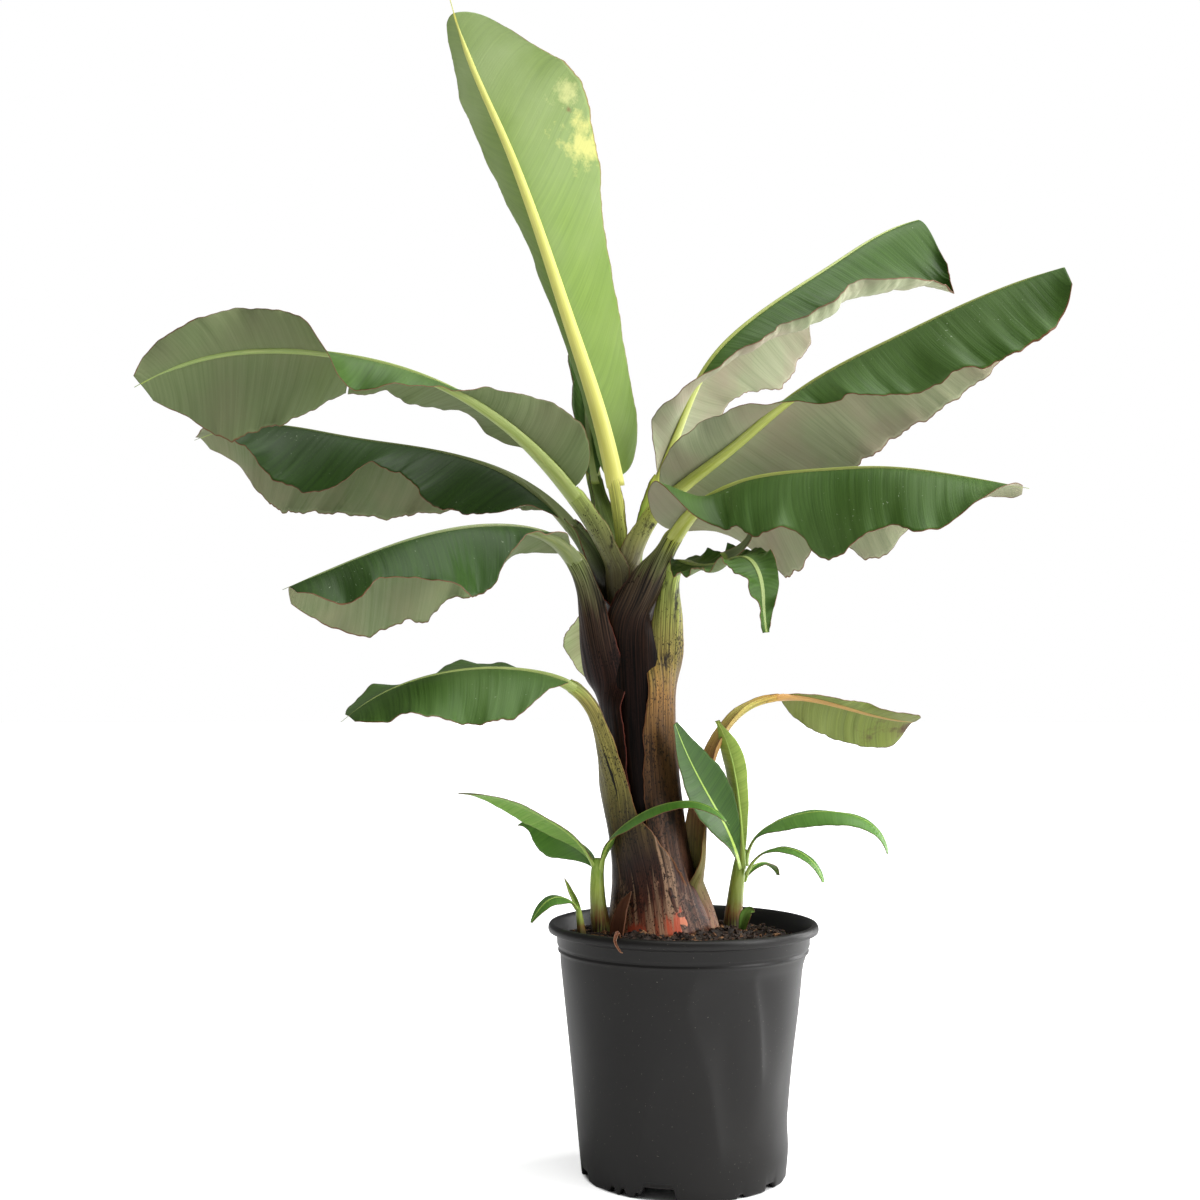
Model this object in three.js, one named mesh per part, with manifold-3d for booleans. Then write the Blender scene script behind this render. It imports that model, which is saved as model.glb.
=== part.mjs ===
// A young banana plant with two side shoots in a ten inch nursery pot.
// Millimetres, +Z up. The origin is the centre of the pot's flat underside, and
// the plant's best side faces -Y.
import * as THREE from 'three';
import { mergeVertices } from 'three/addons/utils/BufferGeometryUtils.js';
import Module from 'manifold-3d';

const wasm = await Module();
wasm.setup();

// ---- driving dimensions ------------------------------------------------------
const POT_HEIGHT = 236;
const POT_LIP_RADIUS = 130;
const POT_COLLAR_RADIUS = 121.5;
const POT_SHOULDER_RADIUS = 118;
const POT_FOOT_RADIUS = 97;
const POT_WALL = 2.5;
const POT_FLOOR = 4;
const LIP_HEIGHT = 9;
const COLLAR_HEIGHT = 15;
const SHOULDER_DROP = 6;            // from the collar's foot to the top of the tapered wall
const COLLAR_TAPER = 1.5;
const FOOT_EDGE = 3;                // chamfer round the pot's foot
const LIP_EDGE = 3;                 // chamfers of the rolled lip
const LIP_TOP = 4;                  // flat width of the lip's top
const POT_SEGMENTS = 36;
const DRAIN_COUNT = 8;
const DRAIN_SIZE = [34, 22, 9];     // along the edge, across it, and up the wall
const DRAIN_TURN = 0.18;            // share of a notch's spacing that turns them all

const SOIL_TOP = 224;
const SOIL_DISH = 6;                // the soil's fall to the pot's wall
const SOIL_LEVEL_RADIUS = 100;
const SOIL_SEGMENTS = 24;
const GAP = 0.45;                   // clearance kept between touching pieces
const SLIVER = 0.02;                // edges of a cut shorter than this are merged away

const BLADE_THICKNESS = 1.8;
const RIB_TAPER = 0.75;             // share of its depth that a midrib loses by the tip
const MIN_HALF_WIDTH = 2.5;
const BLUNT_END = 0.98;             // share of the outline's curve that a tip reaches
const END_FOLD = 0.5;               // share of its fold that a blade keeps at its narrow ends
const RIB_STEPS = 120;
const BLADE_DETAIL = [12, 2];       // facets along a blade, and across each half
const SHOOT_DETAIL = [7, 1];
const STALK_SIDES = 8;
const SHEATH_STEPS = 4;
const STALK_STEPS = 5;
const STALK_TAPER = 0.8;            // power of the taper from a sheath's foot to its neck
const SHOOT_RIB = 1.5;              // depth of the midrib under a side shoot's leaf
const TUCK = 1.5;                   // how far out a margin's curl begins, as a power

// The false trunk: centre and radius at evenly spaced levels from soil to crown.
const TRUNK = {
  top: 640,
  x: [-20, -28, -35, -40, -43, -46, -52, -58],
  y: [12, 12, 10, 8, 6, 4, 2, 0],
  radius: [51, 37, 34, 33, 31, 30, 25, 16],
  sections: 12,
  sides: 14,
};

// Every leaf leaves the trunk at root and runs for length. Pitch, heading and
// roll are its direction in degrees at evenly spaced stages, roll being the turn
// of the blade about its midrib where it has one. The blade starts at the share stalk of that
// length. Each half, left or right as seen from the root towards the tip, has its
// width, its fold up (+) or down (-) from flat, and the further curl of its
// margin, which tuck keeps near the edge. Sweep draws the margin towards the tip, or
// back where it is negative, as a share of the width. Foot is where the sheath rises
// from the trunk, with its half width and half depth there.
const LEAVES = [
  { name: 'spear', color: 0x86a84a, root: [-57, 0, 586], length: 585, stalk: 0.14,
    pitch: [88, 78, 72, 72, 70, 66, 74], heading: [175, 178], roll: [90, 90],
    foot: [-56, 2, 550, 14, 5], neck: [9, 8], base: 14, tip: 40,
    left: { width: [40, 68, 85, 95, 102, 98, 52], fold: [60, 60, 56, 50, 34, 14, 5],
      sweep: [0, 0, 0, 0, 0, -0.15, -0.5] },
    right: { width: [24, 40, 50, 56, 58, 52, 18], fold: [78, 86, 86, 82, 74, 70, 70],
      sweep: [0, 0, 0, 0, 0, 0, -0.4] } },
  { name: 'back', color: 0x2f5a24, root: [-62, 14, 586], length: 390, stalk: 0.26,
    pitch: [63, 62, 56, 46], heading: [134, 93, 101], foot: [-56, 12, 550, 14, 5],
    neck: [8, 7], base: 10, tip: 7,
    left: { width: [26, 38, 42, 38, 26], fold: [70, 72, 74, 74, 70] },
    right: { width: [14, 18, 20, 18, 14], fold: [80, 84, 84, 84, 80] } },
  { name: 'upper_left', color: 0x3f6b3a, root: [-66, -6, 580], length: 532, stalk: 0.161,
    pitch: [67, 44, 26, 10, -5, -31], heading: [198, 211, 189, 181],
    foot: [-60, -4, 550, 16, 5], neck: [11, 9], base: 14, tip: 10,
    left: { width: [58, 56, 34, 18, 34, 46, 42, 42, 40, 30],
      fold: [70, 66, 60, 10, -48, -54, 40, 68, 70, 64] },
    right: { width: [4, 6, 30, 48, 54, 60, 68, 80, 88, 56],
      fold: [-30, -20, -12, -12, -15, -28, -55, -70, -72, -60] } },
  { name: 'middle_left', color: 0x2f5a24, root: [-70, 4, 547], length: 579, stalk: 0.174,
    pitch: [67, 41, 21, 10, 10, -21], heading: [137, 142, 170, 172],
    foot: [-66, 5, 500, 18, 5], neck: [10, 8], base: 12, tip: 10,
    left: { width: [26, 46, 66, 72, 58, 62, 84, 82, 60, 34],
      fold: [-20, -44, -58, -58, -36, -44, -62, -54, -24, -10] },
    right: { width: [16, 30, 50, 62, 76, 88, 92, 104, 100, 52],
      fold: [-50, -60, -64, -66, -72, -74, -74, -74, -66, -50] } },
  { name: 'lower_left', color: 0x2f5a24, root: [-74, -5, 462], length: 441, stalk: 0.317,
    pitch: [62, 71, 14, -9, -22, -25], heading: [-121, -131, -148, -155],
    foot: [-70, -9, 390, 22, 5], neck: [10, 8], base: 12, tip: 12,
    left: { width: [14, 20, 26, 40, 70, 72, 56, 46, 54, 40],
      fold: [-10, -12, -18, -42, -62, -58, -40, -30, -50, -40] },
    right: { width: [20, 32, 48, 66, 74, 88, 80, 82, 72, 50],
      fold: [-40, -50, -60, -66, -66, -66, -66, -66, -64, -60] } },
  { name: 'lowest_left', color: 0x3f6b3a, root: [-61, -21, 366], length: 338, stalk: 0.356,
    pitch: [67, 63, 17, -2, -18, -40], heading: [-130, -151, -161, -165],
    foot: [-34, -33, 262, 28, 5], neck: [8, 7], base: 12, tip: 20,
    left: { width: [24, 38, 62, 66, 60, 54, 42, 32],
      fold: [-38, -42, -50, -54, -52, -46, -34, -36] },
    right: { width: [28, 44, 52, 56, 56, 50, 44, 34], fold: [-5, 0, 5, 8, 0, -5, 5, 20] } },
  { name: 'behind_left', color: 0x8e9a72, root: [-55, 35, 429], length: 285, stalk: 0.45,
    pitch: [76, 76, 15, -41, -81], heading: [108, 100, 94], foot: [-42, 38, 350, 22, 5],
    neck: [6, 5], base: 10, tip: 8,
    left: { width: [24, 44, 46, 28], fold: [-20, -30, -30, -30] },
    right: { width: [24, 44, 46, 28], fold: [-20, -30, -30, -30] } },
  { name: 'upper_right', color: 0x3f6b3a, root: [-46, 6, 586], length: 522, stalk: 0.166,
    pitch: [81, 69, 66, 42, 34, 34, 19], heading: [-1, 18, 25], foot: [-47, 8, 545, 16, 5],
    neck: [9, 8], base: 14, tip: 40,
    left: { width: [36, 50, 56, 52, 70, 86, 80, 60, 56, 60, 60, 54],
      fold: [-62, -64, -66, -68, -70, -72, -66, -50, -30, -24, -24, -24] },
    right: { width: [34, 38, 36, 42, 58, 70, 80, 88, 98, 108, 112, 104],
      fold: [66, 62, 30, -40, -62, -74, -76, -76, -78, -80, -80, -78],
      curl: [0, 0, 20, 90, 120, 140, 155, 160, 140, 110, 80, 50],
      sweep: [0, 0, 0, 0, 0, 0, 0, 0, 0, 0, -0.1, -0.3], tuck: 2 } },
  { name: 'right', color: 0x3f6b3a, root: [-50, -8, 580], length: 496, stalk: 0.154,
    pitch: [75, 33, 35, 22, 21, 13], heading: [-30, -29, -16], foot: [-49, -6, 540, 16, 5],
    neck: [9, 8], base: 14, tip: 40,
    left: { width: [24, 46, 64, 82, 90, 88, 84, 80, 74, 62, 46, 30],
      fold: [-50, -60, -66, -68, -68, -68, -68, -66, -66, -64, -60, -50] },
    right: { width: [40, 46, 40, 32, 34, 54, 70, 78, 82, 84, 76, 52],
      fold: [56, 56, 50, 40, -20, -46, -54, -58, -60, -62, -62, -60] } },
  { name: 'middle_right', color: 0x3f6b3a, root: [-44, -26, 530], length: 439,
    stalk: 0.214, pitch: [55, 56, 22, 1, -2, -12, -13], heading: [-46, -38, -16],
    foot: [-41, -27, 440, 24, 5], neck: [9, 8], base: 14, tip: 12,
    left: { width: [30, 54, 76, 98, 92, 70, 84, 84, 60, 50, 36, 20],
      fold: [-20, -58, -66, -72, -72, -64, -68, -66, -50, -40, -30, -20] },
    right: { width: [52, 56, 54, 60, 72, 66, 92, 80, 66, 72, 48, 24],
      fold: [60, 56, -50, -58, -66, -60, -70, -66, -60, -56, -44, -20],
      sweep: [-0.3, -0.2, 0, 0, 0, 0, 0, 0, 0, 0, 0, 0] } },
  { name: 'crumpled', color: 0x47702f, root: [-17, -15, 487], length: 312, stalk: 0.334,
    pitch: [72, 77, 73, 34, -10, -8, 2, 4, -44, -84, -70],
    heading: [-74, -78, -64, -62, -68], foot: [-14, -20, 340, 18, 5], neck: [8, 6],
    base: 8, tip: 6,
    left: { width: [18, 24, 26, 22, 20, 15, 6], fold: [50, 40, 55, 40, 40, 45, 40] },
    right: { width: [18, 24, 28, 30, 26, 16, 7], fold: [-40, -56, -40, -66, -40, 30, 40],
      curl: [60, 80, 20, 100, 40, 0, 0] } },
  { name: 'lower_right', color: 0x6f7a34, root: [14, 2, 275], length: 384, stalk: 0.604,
    pitch: [87, 83, 50, 2, -15, -6], heading: [39, 34, 20, 15], foot: [16, 2, 240, 14, 5],
    neck: [7, 6], base: 8, tip: 30,
    left: { width: [20, 34, 40, 42, 42, 38], fold: [-55, -60, -60, -60, -58, -55] },
    right: { width: [12, 14, 16, 16, 20, 26], fold: [30, 30, 30, 30, 30, 30] } },
];

// Side shoots: a short stem each, and small leaves that rise from it.
const SHOOTS = [
  { name: 'left_shoot', foot: [-77, -2, SOIL_TOP + GAP], top: [-82, 0, 296],
    bend: [-85, -4, 256], radius: [10, 8, 6] },
  { name: 'right_shoot', foot: [50, 24, SOIL_TOP + GAP], top: [60, 26, 302],
    bend: [52, 24, 258], radius: [10, 8, 6] },
  { name: 'left_offshoot', foot: [-97, -14, SOIL_TOP + GAP], top: [-102, -16, 256],
    bend: [-99, -15, 240], radius: [4.5, 3.5, 2.5] },
];
const SHOOT_LEAVES = [
  { name: 'left_shoot_leaf_a', root: [-84, -1, 284], length: 165, stalk: 0.03,
    pitch: [68, 34, 22, -1], heading: [-154, -160, -167],
    left: { width: [4, 15, 18, 14, 8], fold: [10, -5, 0, 5, 5] },
    right: { width: [4, 17, 21, 17, 10], fold: [-40, -55, -50, -45, -40] } },
  { name: 'left_shoot_leaf_b', root: [-82, 6, 280], length: 112, stalk: 0.03,
    pitch: [67, 35, 23, -34], heading: [140, 150, 160],
    left: { width: [4, 24, 32, 27, 14], fold: [-50, -60, -65, -60, -50] },
    right: { width: [4, 20, 26, 22, 12], fold: [-10, -20, -30, -30, -30] } },
  { name: 'left_shoot_leaf_c', root: [-79, -4, 282], length: 176, stalk: 0.03,
    pitch: [88, 42, 25, 0, -50], heading: [-53, -33, -20],
    left: { width: [4, 15, 16, 13, 7], fold: [20, 10, 10, 0, 0] },
    right: { width: [4, 16, 18, 15, 8], fold: [-30, -50, -50, -45, -40] } },
  { name: 'left_offshoot_leaf', root: [-102, -17, 250], length: 62, stalk: 0.02,
    pitch: [60, 11, -42, -60], heading: [-153, -155],
    left: { width: [4, 12, 10, 6], fold: [-20, -40, -40, -30] },
    right: { width: [4, 12, 10, 6], fold: [10, 5, 0, 0] } },
  { name: 'right_shoot_leaf_a', root: [60, 20, 284], length: 150, stalk: 0.03,
    pitch: [90, 84, 76, 56], heading: [-143, -148], roll: [30, 30],
    left: { width: [4, 7, 11, 13, 4], fold: [50, 50, 46, 40, 30] },
    right: { width: [4, 9, 13, 14, 4], fold: [50, 50, 46, 40, 30] } },
  { name: 'right_shoot_leaf_b', root: [57, 14, 284], length: 166, stalk: 0.03,
    pitch: [75, 55, 56, 66], heading: [-142, -142], roll: [-70, -70],
    left: { width: [6, 26, 32, 26, 12], fold: [20, 10, 0, 0, 0] },
    right: { width: [6, 22, 28, 22, 10], fold: [30, 35, 35, 35, 35] } },
  { name: 'right_shoot_leaf_c', root: [64, 25, 286], length: 187, stalk: 0.03,
    pitch: [92, 33, 8, -20, -84], heading: [-27, -21, -16],
    left: { width: [4, 15, 16, 14, 7], fold: [20, 10, 5, 0, 0] },
    right: { width: [4, 17, 20, 17, 9], fold: [-30, -55, -60, -55, -50] } },
  { name: 'right_shoot_leaf_d', root: [63, 19, 278], length: 108, stalk: 0.03,
    pitch: [70, 22, -25, -75], heading: [-32, -31],
    left: { width: [3, 9, 10, 6], fold: [10, 5, 0, 0] },
    right: { width: [3, 9, 10, 6], fold: [-20, -30, -30, -20] } },
  { name: 'right_shoot_leaf_e', root: [62, 33, 270], length: 60, stalk: 0.03,
    pitch: [65, 27, -16, -70], heading: [37, 37],
    left: { width: [3, 8, 8, 5], fold: [-10, -20, -20, -10] },
    right: { width: [3, 8, 8, 5], fold: [-10, -20, -20, -10] } },
];

// ---- small tools ---------------------------------------------------------------
const radians = THREE.MathUtils.degToRad;
const clamp01 = (x) => Math.min(Math.max(x, 0), 1);
const LEVEL = [0, 0];

/** A smooth value at share t of a run, from values at evenly spaced stages. */
function staged(values, t) {
  const last = values.length - 1;
  const x = clamp01(t) * last;
  const i = Math.min(Math.floor(x), last - 1);
  const f = x - i;
  const [b, c] = [values[i], values[i + 1]];
  const a = i > 0 ? values[i - 1] : 2 * b - c;
  const d = i < last - 1 ? values[i + 2] : 2 * c - b;
  return 0.5 * (2 * b + (c - a) * f + (2 * a - 5 * b + 4 * c - d) * f * f
    + (3 * b - a - 3 * c + d) * f * f * f);
}

/** Direction T, sideways S and upper normal N for a pitch, heading and roll. */
function axes(pitch, heading, roll) {
  const [a, h, r] = [pitch, heading, roll].map(radians);
  const T = new THREE.Vector3(
    Math.cos(a) * Math.cos(h), Math.cos(a) * Math.sin(h), Math.sin(a));
  const flat = new THREE.Vector3(-Math.sin(h), Math.cos(h), 0);
  const up = new THREE.Vector3().crossVectors(T, flat);
  const S = flat.clone().multiplyScalar(Math.cos(r)).addScaledVector(up, Math.sin(r));
  const N = new THREE.Vector3().crossVectors(T, S);
  return { T, S, N };
}

/** The leaf's midrib as stations from its root to its tip. */
function ribStations(leaf, rolls = leaf.roll ?? LEVEL) {
  const point = new THREE.Vector3(...leaf.root);
  const direction = (t) => axes(
    staged(leaf.pitch, t), staged(leaf.heading, t), staged(rolls, t));
  const stations = [];
  for (let i = 0; i <= RIB_STEPS; i += 1) {
    const t = i / RIB_STEPS;
    stations.push({ point: point.clone(), ...direction(t) });
    point.addScaledVector(direction(t + 0.5 / RIB_STEPS).T, leaf.length / RIB_STEPS);
  }
  return stations;
}

/** A station at share t, between the two nearest ones. */
function stationAt(stations, t) {
  const x = clamp01(t) * (stations.length - 1);
  const i = Math.min(Math.floor(x), stations.length - 2);
  const mix = (key) => stations[i][key].clone().lerp(stations[i + 1][key], x - i);
  return { point: mix('point'), T: mix('T'), S: mix('S'), N: mix('N') };
}

/** Moves every vertex of a three.js geometry to the place that place(x, y, z) gives. */
function reshaped(geometry, place) {
  const position = geometry.attributes.position;
  for (let i = 0; i < position.count; i += 1) {
    const p = place(position.getX(i), position.getY(i), position.getZ(i));
    position.setXYZ(i, p.x, p.y, p.z);
  }
  return geometry;
}

function solidOf(geometry) {
  const bare = geometry.clone();
  bare.deleteAttribute('normal');
  bare.deleteAttribute('uv');
  const merged = mergeVertices(bare, 1e-4);
  return new wasm.Manifold(new wasm.Mesh({
    numProp: 3,
    vertProperties: new Float32Array(merged.attributes.position.array),
    triVerts: new Uint32Array(merged.index.array),
  }));
}

function geometryOf(solid) {
  const mesh = solid.getMesh();
  const geometry = new THREE.BufferGeometry();
  geometry.setAttribute('position', new THREE.BufferAttribute(mesh.vertProperties, 3));
  geometry.setIndex(new THREE.BufferAttribute(mesh.triVerts, 1));
  geometry.computeVertexNormals();
  return geometry;
}

/** The biggest piece of a solid that a cut may have left in several. */
function largestPiece(solid) {
  const pieces = solid.decompose();
  return pieces.reduce((best, piece) => (piece.volume() > best.volume() ? piece : best));
}

// ---- leaf blades and stalks ------------------------------------------------------
/** Share of the full half width at share t of the blade, round at both ends. */
function outline(leaf, t) {
  const base = Math.sqrt(Math.max(0, 1 - (1 - t) ** (leaf.base ?? 8)));
  return base * Math.sqrt(Math.max(0, 1 - (BLUNT_END * t) ** (leaf.tip ?? 7)));
}

/** The section of one half blade at share t, from the midrib out to its margin. */
function halfSection(leaf, half, t, steps) {
  const full = outline(leaf, t);
  const width = Math.max(staged(half.width, t) * full, MIN_HALF_WIDTH);
  const fold = radians(staged(half.fold, t)) * (END_FOLD + (1 - END_FOLD) * full);
  const curl = radians(staged(half.curl ?? LEVEL, t));
  const sweep = staged(half.sweep ?? LEVEL, t) * width;
  const points = [{ x: 0, y: 0, z: 0, angle: fold }];
  for (let j = 1; j <= steps; j += 1) {
    const angle = fold + curl * ((j - 0.5) / steps) ** (half.tuck ?? TUCK);
    const { x, y } = points[j - 1];
    const run = width / steps;
    points.push({
      x: x + Math.cos(angle) * run,
      y: y + Math.sin(angle) * run,
      z: sweep * (j / steps) ** 2,
      angle,
    });
  }
  return points;
}

/** A flat slab whose under side's quads are split along the same diagonals as its
 * upper side's, so that the slab keeps its thickness when it is bent. */
function slabGeometry(lengths, widths) {
  const slab = new THREE.BoxGeometry(1, 1, 1, lengths, widths, 1);
  const under = slab.groups[5];
  for (let k = under.start; k < under.start + under.count; k += 6) {
    const [a, b, d, , c] = slab.index.array.slice(k, k + 6);
    slab.index.array.set([a, b, c, a, c, d], k);
  }
  return slab;
}

/** A thin closed blade. Grow swells it on every side, for cutting clearances. */
function bladeSolid(leaf, detail, grow = 0) {
  const stations = ribStations(leaf);
  const [lengths, widths] = detail;
  const sections = [];
  for (let i = 0; i <= lengths; i += 1) {
    const t = i / lengths;
    sections.push({
      left: halfSection(leaf, leaf.left, t, widths),
      right: halfSection(leaf, leaf.right, t, widths),
      ...stationAt(stations, leaf.stalk + (1 - leaf.stalk) * t),
      ribDepth: (leaf.neck ? leaf.neck[1] : SHOOT_RIB) * (1 - RIB_TAPER * t),
    });
  }
  const shell = slabGeometry(lengths, 2 * widths);
  reshaped(shell, (along, across, through) => {
    const row = sections[Math.round((along + 0.5) * lengths)];
    const column = Math.round(across * 2 * widths);
    const side = column < 0 ? -1 : 1;
    const half = side < 0 ? row.right : row.left;
    const { x, y, z, angle } = half[Math.abs(column)];
    const lean = column === 0 ? 0 : angle;
    const upper = through > 0;
    const thickness = BLADE_THICKNESS / 2 + grow;
    const rise = upper ? thickness : -thickness - (column === 0 ? row.ribDepth : 0);
    const edge = Math.abs(column) === widths ? grow : 0;
    const end = (along === -0.5 ? 2 * GAP : 0) + grow * (Math.abs(along) === 0.5) * Math.sign(along);
    return row.point.clone()
      .addScaledVector(row.S, side * (x - Math.sin(lean) * rise + Math.cos(lean) * edge))
      .addScaledVector(row.N, y + Math.cos(lean) * rise + Math.sin(lean) * edge)
      .addScaledVector(row.T, z + end);
  });
  return solidOf(shell);
}

/** A closed limb through stations that each have point, T, S, N, wide and deep. */
function limbSolid(stations, sides, grow = 0) {
  const steps = stations.length - 1;
  const skin = new THREE.CylinderGeometry(1, 1, 1, sides, steps, false);
  reshaped(skin, (x, y, z) => {
    const i = Math.round((y + 0.5) * steps);
    const station = stations[i];
    const end = i === 0 ? -grow : grow * (i === steps);
    return station.point.clone()
      .addScaledVector(station.N, x * (station.deep + grow))
      .addScaledVector(station.S, z * (station.wide + grow))
      .addScaledVector(station.T, end);
  });
  return solidOf(skin);
}

/** The trunk's centre and radius at height z. */
function trunkAt(z) {
  const t = (z - SOIL_TOP) / (TRUNK.top - SOIL_TOP);
  return {
    x: staged(TRUNK.x, t), y: staged(TRUNK.y, t), radius: staged(TRUNK.radius, t),
  };
}

function trunkSolid(grow = 0) {
  const stations = [];
  for (let i = 0; i <= TRUNK.sections; i += 1) {
    const z = SOIL_TOP + GAP + (TRUNK.top - SOIL_TOP - GAP) * (i / TRUNK.sections);
    const { x, y, radius } = trunkAt(z);
    stations.push({
      point: new THREE.Vector3(x, y, z), ...axes(90, 180, 0), wide: radius, deep: radius,
    });
  }
  return limbSolid(stations, TRUNK.sides, grow);
}

/** A leaf's sheath and stalk: up the trunk from its foot, then out to the blade. */
function stalkStations(leaf) {
  const stations = ribStations(leaf, LEVEL);
  const [footX, footY, footZ, footWide, footDeep] = leaf.foot;
  const foot = new THREE.Vector3(footX, footY, footZ);
  const trunk = trunkAt(footZ);
  const outward = THREE.MathUtils.radToDeg(Math.atan2(footY - trunk.y, footX - trunk.x));
  const rootHeading = leaf.heading[0];
  const swing = ((outward - rootHeading + 540) % 360) - 180;
  const reach = foot.distanceTo(stations[0].point);
  const sheath = new THREE.CubicBezierCurve3(
    foot,
    foot.clone().add(new THREE.Vector3(0, 0, reach / 3)),
    stations[0].point.clone().addScaledVector(stations[0].T, -reach / 3),
    stations[0].point,
  );
  const total = reach + leaf.length * leaf.stalk;
  const [neckWide, neckDeep] = leaf.neck;
  const sized = (run, station) => {
    const share = (run / total) ** STALK_TAPER;
    return {
      ...station,
      wide: footWide + (neckWide - footWide) * share,
      deep: footDeep + (neckDeep - footDeep) * share,
    };
  };
  const path = [];
  for (let i = 0; i < SHEATH_STEPS; i += 1) {
    const t = i / SHEATH_STEPS;
    const turn = axes(0, rootHeading + swing * (1 - t), 0);
    const T = sheath.getTangent(t);
    const S = turn.S.addScaledVector(T, -turn.S.dot(T)).normalize();
    const N = new THREE.Vector3().crossVectors(T, S);
    path.push(sized(reach * t, { point: sheath.getPoint(t), T, S, N }));
  }
  for (let i = 0; i <= STALK_STEPS; i += 1) {
    const t = leaf.stalk * (i / STALK_STEPS);
    path.push(sized(reach + leaf.length * t, stationAt(stations, t)));
  }
  return path;
}

/** A side shoot's stem, from the soil through its bend to its top. */
function shootStations(shoot) {
  const path = new THREE.QuadraticBezierCurve3(
    new THREE.Vector3(...shoot.foot),
    new THREE.Vector3(...shoot.bend),
    new THREE.Vector3(...shoot.top),
  );
  return Array.from({ length: STALK_STEPS + 1 }, (_, i) => {
    const t = i / STALK_STEPS;
    const radius = staged(shoot.radius, t);
    return { point: path.getPoint(t), ...axes(90, 0, 0), wide: radius, deep: radius };
  });
}

// ---- pot and soil ------------------------------------------------------------------
/** A solid of revolution about Z from [radius, height] points. */
function turned(profile, segments) {
  const points = profile.map(([radius, height]) => new THREE.Vector2(radius, height));
  return solidOf(new THREE.LatheGeometry(points, segments).rotateX(Math.PI / 2));
}

function potSolid() {
  const lipFoot = POT_HEIGHT - LIP_HEIGHT;
  const collarFoot = lipFoot - COLLAR_HEIGHT;
  const shoulder = collarFoot - SHOULDER_DROP;
  const collarFootRadius = POT_COLLAR_RADIUS - COLLAR_TAPER;
  const shell = turned([
    [0, 0],
    [POT_FOOT_RADIUS - FOOT_EDGE, 0],
    [POT_FOOT_RADIUS, FOOT_EDGE],
    [POT_SHOULDER_RADIUS, shoulder],
    [collarFootRadius, collarFoot],
    [POT_COLLAR_RADIUS, lipFoot - LIP_EDGE],
    [POT_LIP_RADIUS - 1, lipFoot],
    [POT_LIP_RADIUS, POT_HEIGHT - LIP_EDGE],
    [POT_LIP_RADIUS - 2, POT_HEIGHT],
    [POT_LIP_RADIUS - 2 - LIP_TOP, POT_HEIGHT],
    [POT_COLLAR_RADIUS - POT_WALL, lipFoot - 2],
    [collarFootRadius - POT_WALL, collarFoot],
    [POT_SHOULDER_RADIUS - POT_WALL, shoulder],
    [POT_FOOT_RADIUS - POT_WALL, POT_FLOOR],
    [0, POT_FLOOR],
  ], POT_SEGMENTS);
  const [along, across, up] = DRAIN_SIZE;
  let pot = shell;
  for (let i = 0; i < DRAIN_COUNT; i += 1) {
    const notch = new THREE.BoxGeometry(across, along, 2 * up);
    notch.translate(POT_FOOT_RADIUS, 0, 0);
    notch.rotateZ(((i + DRAIN_TURN) / DRAIN_COUNT) * 2 * Math.PI);
    pot = pot.subtract(solidOf(notch));
  }
  return pot;
}

function soilSolid() {
  const low = POT_FLOOR + GAP;
  const shoulder = POT_HEIGHT - LIP_HEIGHT - COLLAR_HEIGHT - SHOULDER_DROP;
  const side = (z) => POT_FOOT_RADIUS - POT_WALL - GAP * 2
    + (POT_SHOULDER_RADIUS - POT_FOOT_RADIUS) * (z / shoulder);
  return turned([
    [0, low],
    [side(low) - 1, low],
    [side(shoulder - 1), shoulder - 1],
    [side(shoulder - 1), SOIL_TOP - SOIL_DISH],
    [SOIL_LEVEL_RADIUS, SOIL_TOP],
    [0, SOIL_TOP],
  ], SOIL_SEGMENTS);
}

// ---- assembly ----------------------------------------------------------------------
const plant = new THREE.Group();
const placed = [];

/** Adds a piece as a named mesh, cut clear of every piece placed before it. */
function place(name, piece, color, roughness, grown) {
  let solid = piece;
  const box = solid.boundingBox();
  for (const other of placed) {
    const apart = [0, 1, 2].some(
      (k) => box.min[k] > other.box.max[k] || box.max[k] < other.box.min[k]);
    if (!apart) solid = solid.subtract(other.grown);
  }
  solid = largestPiece(solid).simplify(SLIVER);
  const material = new THREE.MeshStandardMaterial({
    color, roughness, metalness: 0, flatShading: true,
  });
  const mesh = new THREE.Mesh(geometryOf(solid), material);
  mesh.name = name;
  plant.add(mesh);
  if (grown) placed.push({ grown, box: grown.boundingBox() });
}

place('pot', potSolid(), 0x35322f, 0.42, null);
place('soil', soilSolid(), 0x2a1c12, 0.95, null);
place('trunk', trunkSolid(), 0x2b1d17, 0.5, trunkSolid(GAP));
for (const shoot of SHOOTS) {
  const path = shootStations(shoot);
  place(`${shoot.name}_stem`, limbSolid(path, STALK_SIDES), 0xb5c542, 0.5,
    limbSolid(path, STALK_SIDES, GAP));
}
for (const leaf of LEAVES) {
  const path = stalkStations(leaf);
  place(`${leaf.name}_stalk`, limbSolid(path, STALK_SIDES), 0xa8953f, 0.5,
    limbSolid(path, STALK_SIDES, GAP));
}
for (const leaf of LEAVES) {
  place(`${leaf.name}_blade`, bladeSolid(leaf, BLADE_DETAIL), leaf.color, 0.45,
    bladeSolid(leaf, BLADE_DETAIL, GAP));
}
for (const leaf of SHOOT_LEAVES) {
  place(leaf.name, bladeSolid(leaf, SHOOT_DETAIL), 0x5f9a2c, 0.45,
    bladeSolid(leaf, SHOOT_DETAIL, GAP));
}

export default plant;
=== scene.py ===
"""A young banana plant with two side shoots in a ten inch nursery pot.

Each leaf blade is a fine folded sheet over its midrib, each stalk a channelled limb whose
sheath wraps the false trunk, and the pot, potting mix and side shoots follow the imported
model. The tables are in millimetres and degrees, and the scene is in metres."""
from functools import partial
from math import cos, pi, radians, sin

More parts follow.
